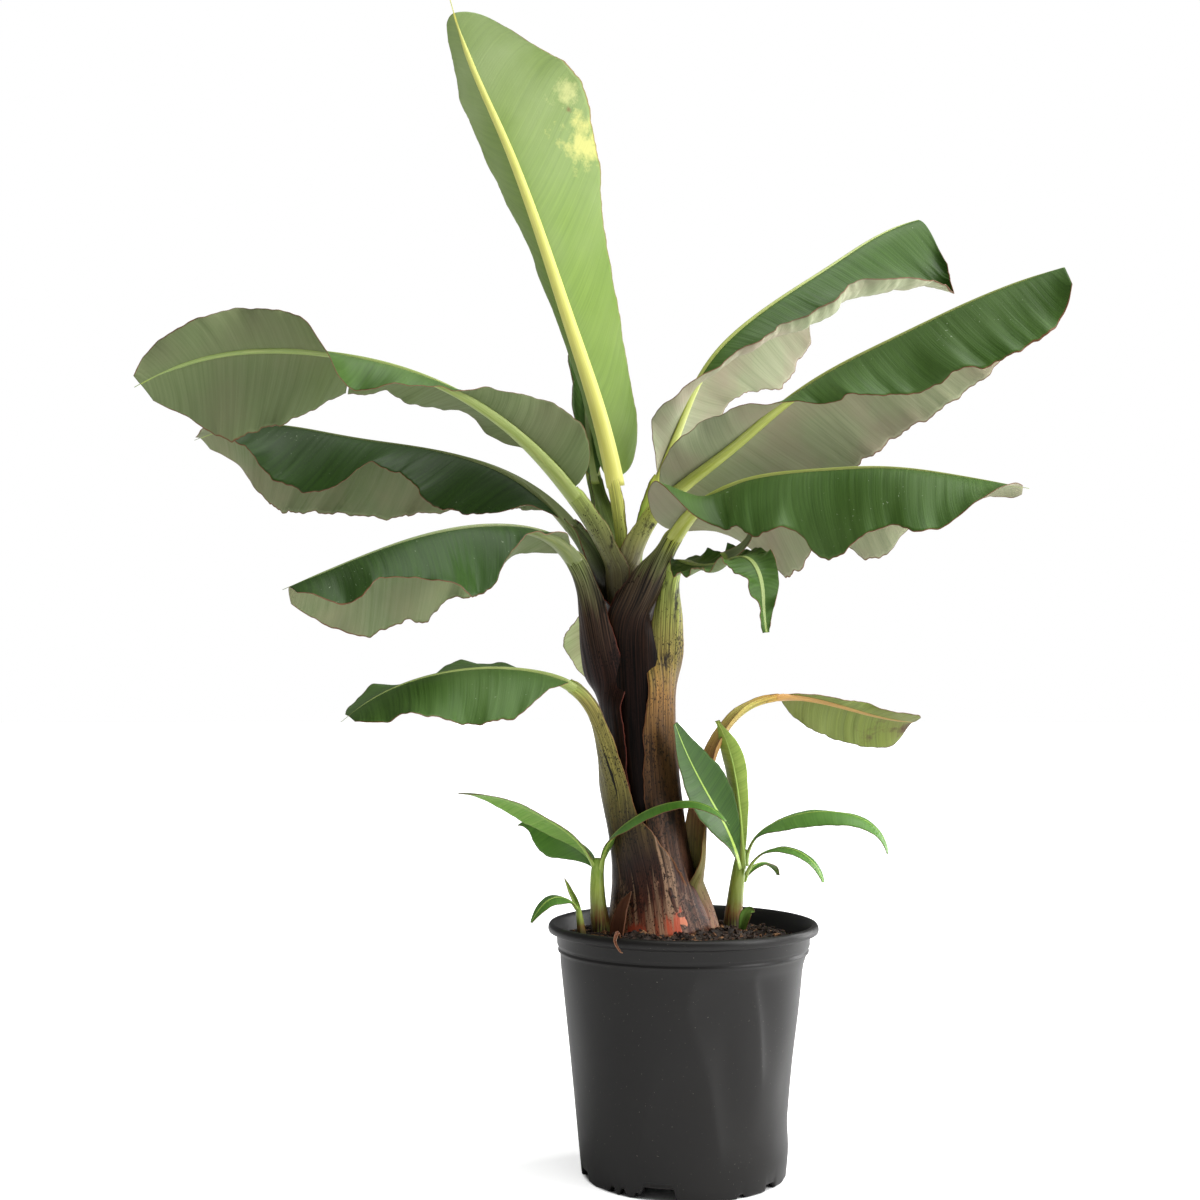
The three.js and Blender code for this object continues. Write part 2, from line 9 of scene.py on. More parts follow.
import bmesh
import bpy
import numpy as np
from mathutils import Euler, Matrix, Vector


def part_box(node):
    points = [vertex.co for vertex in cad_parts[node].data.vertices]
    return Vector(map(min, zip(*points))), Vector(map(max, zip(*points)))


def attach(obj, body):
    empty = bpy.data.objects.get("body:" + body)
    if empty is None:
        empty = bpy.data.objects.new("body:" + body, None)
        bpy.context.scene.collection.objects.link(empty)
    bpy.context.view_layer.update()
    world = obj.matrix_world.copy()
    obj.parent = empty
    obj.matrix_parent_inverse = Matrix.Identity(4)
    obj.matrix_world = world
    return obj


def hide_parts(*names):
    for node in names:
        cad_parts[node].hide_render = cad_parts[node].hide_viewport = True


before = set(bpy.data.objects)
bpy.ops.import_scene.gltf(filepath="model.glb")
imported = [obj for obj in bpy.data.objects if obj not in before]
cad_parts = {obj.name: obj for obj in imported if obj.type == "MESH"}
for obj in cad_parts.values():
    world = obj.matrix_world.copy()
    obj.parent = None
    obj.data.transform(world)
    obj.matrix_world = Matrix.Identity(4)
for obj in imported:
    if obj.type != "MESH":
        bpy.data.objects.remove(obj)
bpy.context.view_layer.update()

MM = 0.001
SOIL_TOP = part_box("soil")[1].z / MM
POT_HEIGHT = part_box("pot")[1].z / MM
LIP_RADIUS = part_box("pot")[1].x / MM

# ---- the plant's sizes -------------------------------------------------------------
# Every leaf leaves the trunk at root and runs for length. Pitch, heading and roll are its
# direction in degrees at even stages, and the blade starts at the share stalk of its length.
# Each half has its half width, its fold up (+) or down (-), and the curl and sweep of its
# margin, all at even stages from the stalk to the tip, and tuck is how late across it the
# curl sets in. Tears are (share, side, depth, gap).
# Neck is the stalk's half width and depth at the blade. Heel is the level where its sheath
# starts, turn the sheath's directions round the trunk at even stages from heel to root, and
# off how far it stands off the trunk there. Wrap and wrap_right are its two half arcs at
# even stages from heel to blade, the same where wrap_right is left out, and clasp is the
# widest radius that it curls to. Base and tip are how blunt the blade's ends are. Rib_width
# is the share of the neck's width that the midrib keeps, thread the length of the drip tip,
# ruffle the height of the margin's waves and close their spacing, pleated the share of the
# pleats' height, uneven that of the outline's wander, vein_lean the lean of the side veins
# towards the tip, and skin the finish.
LEAVES = [
  dict(name="spear", root=[-57, 0, 586], length=585, stalk=0.14, heel=520, rib_width=0.95,
    turn=[180, 180], off=[-24, -24], wrap=[18, 18], skin="young", ruffle=0.8,
    pitch=[88, 78, 72, 72, 70, 66, 74], heading=[175, 178], roll=[90, 90], neck=[9, 8], base=14,
    tip=40, thread=15, uneven=0.35, vein_lean=0.9,
    left=dict(width=[40, 68, 85, 95, 102, 98, 52], fold=[60, 60, 56, 50, 34, 14, 5],
      sweep=[0, 0, 0, 0, 0, -0.15, -0.5]),
    right=dict(width=[24, 40, 50, 56, 58, 52, 18], fold=[78, 86, 86, 82, 74, 70, 70],
      sweep=[0, 0, 0, 0, 0, 0, -0.4])),
  dict(name="back", root=[-62, 14, 586], length=390, stalk=0.26, heel=520, turn=[130, 130],
    off=[-14, -12], wrap=[18, 18, 18, 16], skin="grown", ruffle=1.5, pitch=[63, 62, 56, 46],
    heading=[134, 93, 101], neck=[8, 7], base=10, tip=7,
    left=dict(width=[26, 38, 42, 38, 26], fold=[70, 72, 74, 74, 70]),
    right=dict(width=[14, 18, 20, 18, 14], fold=[80, 84, 84, 84, 80])),
  dict(name="upper_left", root=[-66, -6, 580], length=532, stalk=0.161, heel=500,
    turn=[-150, -151], off=[-12, -10], wrap=[24, 24, 25, 24, 21, 20], skin="grown", ruffle=4.2,
    tears=[(0.56, -1, 0.55, 0.6)], pitch=[67, 44, 26, 10, -5, -31], heading=[198, 211, 189, 181],
    thread=6, neck=[11, 9], base=14, tip=10,
    left=dict(width=[58, 56, 34, 18, 34, 46, 42, 42, 40, 30],
      fold=[70, 66, 60, 10, -48, -54, 40, 68, 70, 64]),
    right=dict(width=[4, 6, 30, 48, 54, 60, 68, 80, 88, 56],
      fold=[-30, -20, -12, -12, -15, -28, -55, -70, -72, -60])),
  dict(name="middle_left", root=[-70, 4, 547], length=579, stalk=0.174, heel=440,
    turn=[-170, -176], off=[-9, -9], wrap=[24, 24, 24, 22, 20, 18], skin="deep", ruffle=4.2,
    pitch=[67, 41, 21, 10, 10, -21], heading=[137, 142, 170, 172], thread=7, neck=[10, 8], base=12,
    tip=10,
    left=dict(width=[26, 46, 66, 72, 58, 62, 84, 82, 60, 34],
      fold=[-20, -44, -58, -58, -36, -44, -62, -54, -24, -10]),
    right=dict(width=[16, 30, 50, 62, 76, 88, 92, 104, 100, 52],
      fold=[-50, -60, -64, -66, -72, -74, -74, -74, -66, -50])),
  dict(name="lower_left", root=[-74, -5, 462], length=441, stalk=0.317, heel=300,
    turn=[-160, -160, -160], off=[-4, -3.5, -3], wrap=[26, 26, 26, 26, 24, 20, 18],
    wrap_right=[28, 28, 28, 28, 25, 21, 18], skin="deep", ruffle=4.2,
    pitch=[62, 71, 14, -9, -22, -25], heading=[-121, -131, -148, -155], thread=6, neck=[10, 8],
    base=12, tip=12,
    left=dict(width=[14, 20, 26, 40, 70, 72, 56, 46, 54, 40],
      fold=[-10, -12, -18, -42, -62, -58, -40, -30, -50, -40]),
    right=dict(width=[20, 32, 48, 66, 74, 88, 80, 82, 72, 50],
      fold=[-40, -50, -60, -66, -66, -66, -66, -66, -64, -60])),
  dict(name="lowest_left", root=[-61, -21, 366], length=338, stalk=0.356, heel=222,
    turn=[-118, -124, -133], off=[-1, -2, -1], wrap=[76, 57, 46, 40, 20, 16, 16],
    wrap_right=[68, 57, 37, 17, 15, 14, 16], skin="grown", ruffle=3.4,
    pitch=[67, 63, 17, -2, -18, -40], heading=[-130, -151, -161, -165], thread=9, neck=[8, 7],
    base=12, tip=20,
    left=dict(width=[24, 38, 62, 66, 60, 54, 42, 32],
      fold=[-38, -42, -50, -54, -52, -46, -34, -36]),
    right=dict(width=[28, 44, 52, 56, 56, 50, 44, 34], fold=[-5, 0, 5, 8, 0, -5, 5, 20])),
  dict(name="behind_left", root=[-55, 35, 429], length=285, stalk=0.45, heel=300,
    turn=[112, 114, 116], off=[-4, -4, -3], wrap=[34, 32, 26, 20, 14], skin="pale", ruffle=2,
    pitch=[76, 76, 15, -41, -81], heading=[108, 100, 94], neck=[6, 5], base=10, tip=8,
    left=dict(width=[24, 44, 46, 28], fold=[-20, -30, -30, -30]),
    right=dict(width=[24, 44, 46, 28], fold=[-20, -30, -30, -30])),
  dict(name="upper_right", root=[-46, 6, 586], length=522, stalk=0.166, heel=500, turn=[20, 30],
    off=[-20, -19], wrap=[22, 22, 22, 20, 18], skin="ruddy", ruffle=4.2,
    pitch=[81, 69, 66, 42, 34, 34, 19], heading=[-1, 18, 25], neck=[9, 8], base=14, tip=40,
    left=dict(width=[36, 50, 56, 52, 70, 86, 80, 60, 56, 60, 60, 54],
      fold=[-62, -64, -66, -68, -70, -72, -66, -50, -30, -24, -24, -24]),
    right=dict(width=[34, 38, 36, 42, 58, 70, 80, 88, 98, 108, 112, 104],
      fold=[66, 62, 30, -40, -62, -74, -76, -76, -78, -80, -80, -78],
      curl=[0, 0, 20, 90, 120, 140, 155, 160, 140, 110, 80, 50],
      sweep=[0, 0, 0, 0, 0, 0, 0, 0, 0, 0, -0.1, -0.3], tuck=2)),
  dict(name="right", root=[-50, -8, 580], length=496, stalk=0.154, heel=490, turn=[-84, -84],
    off=[-12, -14], wrap=[28, 28, 28, 24, 20, 19], wrap_right=[28, 28, 28, 20, 18, 19],
    rib_width=0.85, skin="ruddy", ruffle=4, pitch=[75, 33, 35, 22, 21, 13],
    heading=[-30, -29, -16], neck=[9, 8], base=14, tip=40,
    left=dict(width=[24, 46, 64, 82, 90, 88, 84, 80, 74, 62, 46, 30],
      fold=[-50, -60, -66, -68, -68, -68, -68, -66, -66, -64, -60, -50]),
    right=dict(width=[40, 46, 40, 32, 34, 54, 70, 78, 82, 84, 76, 52],
      fold=[56, 56, 50, 40, -20, -46, -54, -58, -60, -62, -62, -60])),
  dict(name="middle_right", root=[-44, -26, 530], length=439, stalk=0.214, heel=232,
    turn=[-80, -82, -84, -84], off=[-9, -8, -7, -5], wrap=[40, 38, 38, 38, 38, 34, 19],
    wrap_right=[36, 36, 36, 36, 34, 30, 19], skin="ruddy", ruffle=4.2,
    pitch=[55, 56, 22, 1, -2, -12, -13], heading=[-46, -38, -16], thread=5, neck=[9, 8], base=14,
    tip=12,
    left=dict(width=[30, 54, 76, 98, 92, 70, 84, 84, 60, 50, 36, 20],
      fold=[-20, -58, -66, -72, -72, -64, -68, -66, -50, -40, -30, -20]),
    right=dict(width=[52, 56, 54, 60, 72, 66, 92, 80, 66, 72, 48, 24],
      fold=[60, 56, -50, -58, -66, -60, -70, -66, -60, -56, -44, -20],
      sweep=[-0.3, -0.2, 0, 0, 0, 0, 0, 0, 0, 0, 0, 0])),
  dict(name="crumpled", root=[-17, -15, 487], length=312, stalk=0.334, heel=226,
    turn=[-45, -46, -44, -41], off=[-1, -2.5, -3, -3], wrap=[40, 36, 31, 28, 23, 17, 13],
    wrap_right=[40, 34, 30, 28, 22, 17, 13], skin="grown", ruffle=4, close=0.5,
    pitch=[72, 77, 73, 34, -10, -8, 2, 4, -44, -84, -70], heading=[-74, -78, -64, -62, -68],
    neck=[8, 6], base=8, tip=6,
    left=dict(width=[18, 24, 26, 22, 20, 15, 6], fold=[50, 40, 55, 40, 40, 45, 40]),
    right=dict(width=[18, 24, 28, 30, 26, 16, 7], fold=[-40, -56, -40, -66, -40, 30, 40],
      curl=[60, 80, 20, 100, 40, 0, 0])),
  dict(name="lower_right", root=[14, 2, 275], length=384, stalk=0.604, heel=222, turn=[-16, -8],
    off=[2, 4], clasp=16, wrap=[36, 27, 19, 14, 12, 12], skin="aged", ruffle=1.6,
    pitch=[87, 83, 50, 2, -15, -6], heading=[39, 34, 20, 15], neck=[7, 6], base=8, tip=30,
    left=dict(width=[20, 34, 40, 42, 42, 38], fold=[-55, -60, -60, -60, -58, -55]),
    right=dict(width=[12, 14, 16, 16, 20, 26], fold=[30, 30])),
]
# A side shoot's stem curves from foot past bend to top, with its radius at even stages.
SHOOTS = [
  dict(name="left_shoot", foot=[-77, -2, SOIL_TOP], top=[-82, 0, 296], bend=[-85, -4, 256],
    radius=[10, 8, 6]),
  dict(name="right_shoot", foot=[50, 24, SOIL_TOP], top=[60, 26, 302], bend=[52, 24, 258],
    radius=[10, 8, 6]),
  dict(name="left_offshoot", foot=[-97, -14, SOIL_TOP], top=[-102, -16, 256], bend=[-99, -15, 240],
    radius=[4.5, 3.5, 2.5]),
]
# Their leaves have the same keys, and SHOOT_HABIT gives what they share.
SHOOT_LEAVES = [
  dict(name="left_shoot_leaf_a", root=[-84, -1, 284], length=165, thread=5, pitch=[68, 34, 22, -1],
    heading=[-154, -160, -167],
    left=dict(width=[4, 15, 18, 14, 8], fold=[10, -5, 0, 5, 5]),
    right=dict(width=[4, 17, 21, 17, 10], fold=[-40, -55, -50, -45, -40])),
  dict(name="left_shoot_leaf_b", root=[-82, 6, 280], length=112, pitch=[67, 35, 23, -34],
    heading=[140, 150, 160],
    left=dict(width=[4, 24, 32, 27, 14], fold=[-50, -60, -65, -60, -50]),
    right=dict(width=[4, 20, 26, 22, 12], fold=[-10, -20, -30, -30, -30])),
  dict(name="left_shoot_leaf_c", root=[-79, -4, 282], length=176, thread=5,
    pitch=[88, 42, 25, 0, -50], heading=[-53, -33, -20],
    left=dict(width=[4, 15, 16, 13, 7], fold=[20, 10, 10, 0, 0]),
    right=dict(width=[4, 16, 18, 15, 8], fold=[-30, -50, -50, -45, -40])),
  dict(name="left_offshoot_leaf", root=[-102, -17, 250], length=62, thread=5, stalk=0.02,
    pitch=[60, 11, -42, -60], heading=[-153, -155],
    left=dict(width=[4, 12, 10, 6], fold=[-20, -40, -40, -30]),
    right=dict(width=[4, 12, 10, 6], fold=[10, 5, 0, 0])),
  dict(name="right_shoot_leaf_a", root=[60, 20, 284], length=150, skin="sprout",
    pitch=[90, 84, 76, 56], heading=[-143, -148], roll=[30, 30],
    left=dict(width=[4, 7, 11, 13, 4], fold=[50, 50, 46, 40, 30]),
    right=dict(width=[4, 9, 13, 14, 4], fold=[50, 50, 46, 40, 30])),
  dict(name="right_shoot_leaf_b", root=[57, 14, 284], length=166, skin="shaded",
    pitch=[75, 55, 56, 66], heading=[-142, -142], roll=[-70, -70],
    left=dict(width=[6, 26, 32, 26, 12], fold=[20, 10, 0, 0, 0]),
    right=dict(width=[6, 22, 28, 22, 10], fold=[30, 35, 35, 35, 35])),
  dict(name="right_shoot_leaf_c", root=[64, 25, 286], length=187, thread=5,
    pitch=[92, 33, 8, -20, -84], heading=[-27, -21, -16],
    left=dict(width=[4, 15, 16, 14, 7], fold=[20, 10, 5, 0, 0]),
    right=dict(width=[4, 17, 20, 17, 9], fold=[-30, -55, -60, -55, -50])),
  dict(name="right_shoot_leaf_d", root=[63, 19, 278], length=108, thread=5,
    pitch=[70, 22, -25, -75], heading=[-32, -31],
    left=dict(width=[3, 9, 10, 6], fold=[10, 5, 0, 0]),
    right=dict(width=[3, 9, 10, 6], fold=[-20, -30, -30, -20])),
  dict(name="right_shoot_leaf_e", root=[62, 33, 270], length=60, thread=5,
    pitch=[65, 27, -16, -70], heading=[37, 37],
    left=dict(width=[3, 8, 8, 5], fold=[-10, -20, -20, -10]),
    right=dict(width=[3, 8, 8, 5], fold=[-10, -20, -20, -10])),
]

# Small loose parts: each runs along its way, and its upper side looks the way it faces.
STRIPS = [
  dict(name="old_sheath_remnant", slot="trunk_sheath", skin="dry", cup=0.8,
    faces=(-0.75, -0.65, 0.1), width=[9, 9.5, 9, 7, 4, 0.6], way=[
      [-60, -29, 220], [-59, -30, 230], [-57, -30, 241], [-55, -29, 252], [-52, -30, 261],
      [-50, -32, 268]]),
  dict(name="crumpled_leaf_upturned_curl", slot="leaf_blade", skin="grown", cup=0.7,
    faces=(-0.5, -0.8, 0.2), width=[6, 5, 4, 3, 2.4, 0.5], way=[
      [30, -146, 572], [38, -152, 576], [46, -155, 582], [52, -156, 590], [54, -156, 599],
      [53, -155, 607]]),
  dict(name="dry_curl_on_the_rim", slot="leaf_blade", skin="dry", cup=0.9,
    faces=(0.2, -0.8, 0.6), width=[1.2, 1.5, 1.8, 1.4, 1, 0.4], way=[
      [-62, -96, 226], [-63, -106, 237], [-65, -113, 240], [-67, -121, 234], [-63, -120, 226],
      [-60, -119, 224]]),
  dict(name="right_shoot_stub_leaf", slot="shoot_leaf", skin="shoot", cup=0.5,
    faces=(-0.2, -1, 0.2), width=[3, 4, 5, 5.5, 4, 1], way=[
      [58, 14, 223], [59, 11, 229], [60, 9, 235], [62, 8, 241], [66, 7, 245], [70, 6, 244]]),
  dict(name="left_offshoot_spike", slot="shoot_leaf", skin="sprout", cup=0.8,
    faces=(0, -1, 0.2), width=[2.4, 2.8, 2.4, 1.6, 0.4], way=[
      [-101, -16, 250], [-104, -17, 258], [-108, -18, 266], [-111, -19, 273], [-114, -20, 279]]),
]

# ---- numbers -----------------------------------------------------------------------
LEVEL = [0, 0]
RIB_STEPS = 120
RIB_TAPER = 0.75
MIN_HALF_WIDTH = 2.5
BLUNT_END = 0.98
END_FOLD = 0.5
TRUNK = dict(
    top=640, x=[-20, -28, -35, -40, -43, -46, -52, -58], y=[12, 12, 10, 8, 6, 4, 2, 0],
    radius=[51, 37, 34, 33, 31, 30, 25, 16])


def staged(values, t):
    """A smooth value at share t of a run, from values at evenly spaced stages."""
    values = np.asarray(values, float)
    last = len(values) - 1
    x = np.clip(t, 0, 1) * last
    i = np.minimum(x.astype(int), last - 1)
    f = x - i
    before, after = 2 * values[0] - values[1], 2 * values[-1] - values[-2]
    padded = np.concatenate([[before], values, [after]])
    a, b, c, d = (padded[i + k] for k in range(4))
    return 0.5 * (2 * b + (c - a) * f + (2 * a - 5 * b + 4 * c - d) * f**2
                  + (3 * b - a - 3 * c + d) * f**3)


def waves(x, seed, lengths, heights):
    """A wandering value along x: sines of these lengths and heights with seeded phases."""
    phases = np.random.default_rng(seed).uniform(0, 2 * pi, len(lengths))
    return sum(height * np.sin(2 * pi * x / length + phase)
               for length, height, phase in zip(lengths, heights, phases))


def smooth(x, low=0.0, high=1.0):
    """0 below low, 1 above high and a smooth step between."""
    x = np.clip((x - low) / (high - low), 0, 1)
    return x * x * (3 - 2 * x)


def mix(low, high, share):
    return low + (high - low) * share


def unit(rows):
    return rows / np.linalg.norm(rows, axis=-1, keepdims=True)


def together(*values):
    """Values spread to one shape and set side by side along a last axis."""
    return np.stack(np.broadcast_arrays(*values), axis=-1)


def offset(points, *moves):
    """A grid from a path's points, each moved along its own axes by a row of amounts."""
    return points[:, None] + sum(axis[:, None] * amount[..., None] for axis, amount in moves)


def ringed(reach, angle, level, x=0, y=0):
    """Points at these reaches, directions and levels round an upright axis."""
    return together(x + reach * np.cos(angle), y + reach * np.sin(angle), level)


def axes(pitch, heading, roll):
    """Rows of direction, sideways and upper normal for rows of angles in degrees."""
    a, h, r = (np.radians(angle)[:, None] for angle in (pitch, heading, roll))
    along = np.hstack([np.cos(a) * np.cos(h), np.cos(a) * np.sin(h), np.sin(a)])
    flat = np.hstack([-np.sin(h), np.cos(h), np.zeros_like(h)])
    sideways = flat * np.cos(r) + np.cross(along, flat) * np.sin(r)
    return along, sideways, np.cross(along, sideways)


def rib(leaf, rolls=None):
    """The midrib from root to tip: rows of points, direction, sideways and normal."""
    def direction(t):
        return axes(staged(leaf["pitch"], t), staged(leaf["heading"], t),
                    staged(rolls or leaf.get("roll", LEVEL), t))
    t = np.linspace(0, 1, RIB_STEPS + 1)
    steps = direction(t[:-1] + 0.5 / RIB_STEPS)[0] * leaf["length"] / RIB_STEPS
    points = leaf["root"] + np.vstack([np.zeros(3), np.cumsum(steps, axis=0)])
    return [points, *direction(t)]


def at_share(path, t):
    """A path's rows at the shares t of its run."""
    x = np.clip(t, 0, 1) * (len(path[0]) - 1)
    i = np.minimum(x.astype(int), len(path[0]) - 2)
    f = (x - i)[:, None]
    return [rows[i] * (1 - f) + rows[i + 1] * f for rows in path]


def trunk_at(z):
    """The trunk's centre line points and its radii at heights z."""
    t = (z - SOIL_TOP) / (TRUNK["top"] - SOIL_TOP)
    return together(staged(TRUNK["x"], t), staged(TRUNK["y"], t), z), staged(TRUNK["radius"], t)


# ---- meshes ------------------------------------------------------------------------
def surface(name, points, maps, cuts=(), rolled=False):
    """A mesh from a flat grid whose corners go to points, rows by columns, in mm.

    maps are its UV maps, cuts the faces (row, first column, last column) left out, and
    rolled joins the last column to the first and closes both ends."""
    rows, columns = points.shape[0] - 1, points.shape[1] - 1
    bm = bmesh.new()
    bmesh.ops.create_grid(bm, x_segments=rows, y_segments=columns, size=0.5)
    mesh = bpy.data.meshes.new(name)
    bm.to_mesh(mesh)
    bm.free()
    flat = np.empty(len(mesh.vertices) * 3)
    mesh.vertices.foreach_get("co", flat)
    spots = np.rint((flat.reshape(-1, 3)[:, :2] + 0.5) * [rows, columns]).astype(int)
    row, column = spots.T
    mesh.vertices.foreach_set("co", (points[row, column] * MM).ravel())
    corner = np.empty(len(mesh.loops), int)
    mesh.loops.foreach_get("vertex_index", corner)
    for key, values in maps.items():
        layer = mesh.uv_layers.new(name=key)
        layer.data.foreach_set("uv", values[row[corner], column[corner]].ravel())
    first = spots[corner].reshape(-1, 4, 2).min(axis=1)
    gone = {i for cut, low, high in cuts for i in np.flatnonzero(
        (first[:, 0] == cut) & (first[:, 1] >= low) & (first[:, 1] < high))}
    if not rolled and not gone:
        return mesh
    bm = bmesh.new()
    bm.from_mesh(mesh)
    bm.faces.ensure_lookup_table()
    bmesh.ops.delete(bm, geom=[bm.faces[i] for i in gone], context="FACES")
    if rolled:
        bmesh.ops.remove_doubles(bm, verts=bm.verts, dist=0.002 * MM)
        bmesh.ops.holes_fill(bm, edges=[e for e in bm.edges if e.is_boundary], sides=0)
        bmesh.ops.recalc_face_normals(bm, faces=bm.faces)
    bm.to_mesh(mesh)
    bm.free()
    return mesh


def place(mesh, materials, replaced=(), rounded=True):
    """Puts a finished mesh in the scene as a piece of the plant."""
    for finish in materials:
        mesh.materials.append(finish)
    if rounded:
        mesh.shade_smooth()
    piece = bpy.data.objects.new(mesh.name, mesh)
    bpy.context.scene.collection.objects.link(piece)
    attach(piece, "root")
    if replaced:
        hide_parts(*replaced)
    return piece


def add_limb(name, shape, slot, finish, *replaced):
    """Adds a closed piece that is rolled from a grid and its maps."""
    place(surface(name, *shape, rolled=True), [finish], replaced)


def add_sheet(name, shape, slot, skin, thickness, *replaced):
    """Adds a sheet of real thickness in mm, with finishes for both sides and its margin."""
    piece = place(surface(name, *shape), skin, replaced)
    thick = piece.modifiers.new("thickness", "SOLIDIFY")
    thick.thickness, thick.offset = thickness * MM, -1
    thick.material_offset, thick.material_offset_rim = 1, 2


# ---- leaves ------------------------------------------------------------------------
BLADE_GRID, SHOOT_GRID = (250, 20), (90, 10)    # rows along a blade, columns across a half
RIB_GRID, SHOOT_RIB_GRID = (120, 20), (60, 12)  # rows along a midrib, columns round it
BLADE_THICKNESS, STRIP_THICKNESS = 0.6, 0.5
TUCK = 1.5                              # how late across a half its curl sets in
RIB_SHOULDER = 9                        # how far from the rib a half reaches its full fold
RIB_HEAD = 9                            # how far a midrib starts before its blade
VEIN_LEAN = 0.22                        # how far the side veins lean towards the tip
PLEAT = 8.5                             # spacing of the pleats between the main side veins


def outline(leaf, t):
    """Share of the full half width at share t of the blade, round at both ends."""
    base = np.sqrt(np.maximum(0, 1 - (1 - t) ** leaf.get("base", 8)))
    return base * np.sqrt(np.maximum(0, 1 - (BLUNT_END * t) ** leaf.get("tip", 7)))


def half_blade(leaf, half, t, steps, seed):
    """A half blade's out, up and forward offsets, its distance from the rib, and how far
    along the rib its veins start, each by row."""
    length = leaf["length"] * (1 - leaf["stalk"])
    full = outline(leaf, t)
    uneven = 1 + leaf.get("uneven", 1) * waves(
        t * length, seed, (67, 31, 17, 9), (0.012, 0.014, 0.008, 0.005))
    width = np.maximum(staged(half["width"], t) * full * uneven, MIN_HALF_WIDTH)[:, None]
    share = np.linspace(0, 1, steps + 1)
    middle = share[1:] - 0.5 / steps
    fold = np.radians(staged(half["fold"], t)) * mix(END_FOLD, 1, full)
    curl = np.radians(staged(half.get("curl", LEVEL), t))
    spread = 1 - 0.7 * np.exp(-width * middle / RIB_SHOULDER)
    slope = (fold[:, None] * spread * mix(0.9, 1.12, middle)
             + curl[:, None] * middle ** half.get("tuck", TUCK))
    reach = width * share
    vein = (t[:, None] * length - leaf.get("vein_lean", VEIN_LEAN) * reach
            - 0.12 * width * share**3)
    out, up = (np.pad(np.cumsum(part * width / steps, axis=1), ((0, 0), (1, 0)))
               for part in (np.cos(slope), np.sin(slope)))
    lean = np.pad(slope, ((0, 0), (1, 0)), mode="edge")
    calm = full[:, None]
    ruffle = leaf.get("ruffle", 1.2) * calm * share**2 * waves(
        (vein + 9 * share) / leaf.get("close", 1), seed + 1, (112, 71, 43, 19),
        (1.0, 0.8, 0.45, 0.16))
    pleat = ((0.06 + 0.08 * waves(vein, seed + 2, (71, 43), (1, 1)))
             * np.sin(2 * pi * vein / PLEAT))
    swell = ruffle + pleat * calm * smooth(reach, 2, 14) * leaf.get("pleated", 1)
    forward = staged(half.get("sweep", LEVEL), t)[:, None] * width * share**2
    return out - np.sin(lean) * swell, up + np.cos(lean) * swell, forward, reach, vein


def blade_points(leaf, grid, seed):
    """The blade's grid of points, its two maps and the faces that its tears leave out."""
    rows, steps = grid
    t = np.linspace(0, 1, rows + 1)
    point, along, sideways, normal = at_share(rib(leaf), mix(leaf["stalk"], 1, t))
    length = leaf["length"] * (1 - leaf["stalk"])
    share = np.linspace(0, 1, steps + 1)[None, :]
    halves, cuts = [], []
    for side, half in ((1, leaf["left"]), (-1, leaf["right"])):
        out, up, forward, reach, vein = half_blade(leaf, half, t, steps, seed + 10 * side + 20)
        for where, tear_side, depth, gap in leaf.get("tears", ()):
            if tear_side != side:
                continue
            cut = round(where * rows)
            ahead = np.abs(t - t[cut])[:, None] * length
            opened = gap * smooth(share, depth, 1)
            beyond = np.arange(rows + 1)[:, None] > cut
            forward = forward + opened * np.exp(-ahead / 14) * (beyond - 0.4)
            up = up + opened * np.exp(-ahead / 20) * np.where(beyond, 1.2, -0.6)
            first = round(depth * steps)
            cuts.append((cut, steps + first, 2 * steps) if side > 0 else (cut, 0, steps - first))
        halves.append((
            offset(point, (sideways, side * out), (normal, up), (along, forward)),
            together(vein, side * reach) * MM, together(t[:, None], side * share)))
    points, veins, shares = (np.concatenate([right[:, :0:-1], left], axis=1)
                             for left, right in zip(*halves))
    return points, {"veins": veins, "outline": shares}, cuts


def midrib_points(leaf, grid):
    """A tapered rib under the blade, flat and channelled on top, with its thread of a tip."""
    rows, around = grid
    length = leaf["length"] * (1 - leaf["stalk"])
    t = np.linspace(-RIB_HEAD / length, 1 + leaf.get("thread", 0) / length, rows + 1)
    point, along, sideways, normal = at_share(rib(leaf), mix(leaf["stalk"], 1, t))
    point = point + along * np.maximum(t - 1, 0)[:, None] * length
    neck_wide, neck_deep = leaf.get("neck", (3.2, 2.2))
    taper = np.clip(1 - RIB_TAPER * t, 0.1, 1) * mix(1, 0.25, smooth(t, 0.9, 1.0))
    wide = neck_wide * mix(1, leaf.get("rib_width", 0.62), smooth(t, 0, 0.3)) * taper
    deep = (neck_deep * mix(1, 0.85, smooth(t, 0, 0.2)) * taper)[:, None]
    angle = np.linspace(0, 2 * pi, around + 1)[None, :]
    across, rise = np.cos(angle), np.sin(angle)
    top = 0.34 * deep * (0.55 + 0.45 * across**2) * np.sqrt(np.abs(rise))
    high = np.where(rise > 0, top, deep * rise)
    return (offset(point, (sideways, wide[:, None] * across), (normal, high)),
            {"outline": together(t[:, None], across * np.sign(rise + 1e-9))})


def strip_points(strip, rows=36, columns=8):
    """A narrow strip of leaf along a smooth run of places, cupped across its width."""
    t = np.linspace(0, 1, rows + 1)
    point = together(*(staged(column, t) for column in np.transpose(strip["way"])))
    along = unit(np.gradient(point, axis=0))
    sideways = unit(np.cross(along, strip["faces"]))
    share = np.linspace(-1, 1, columns + 1)[None, :]
    across = np.maximum(staged(strip["width"], t), 0.35)[:, None] * share
    return (offset(point, (sideways, across),
                   (np.cross(sideways, along), strip["cup"] * across * share)),
            {"veins": together(across, t[:, None] * 40) * MM,
             "outline": together(t[:, None], share)})


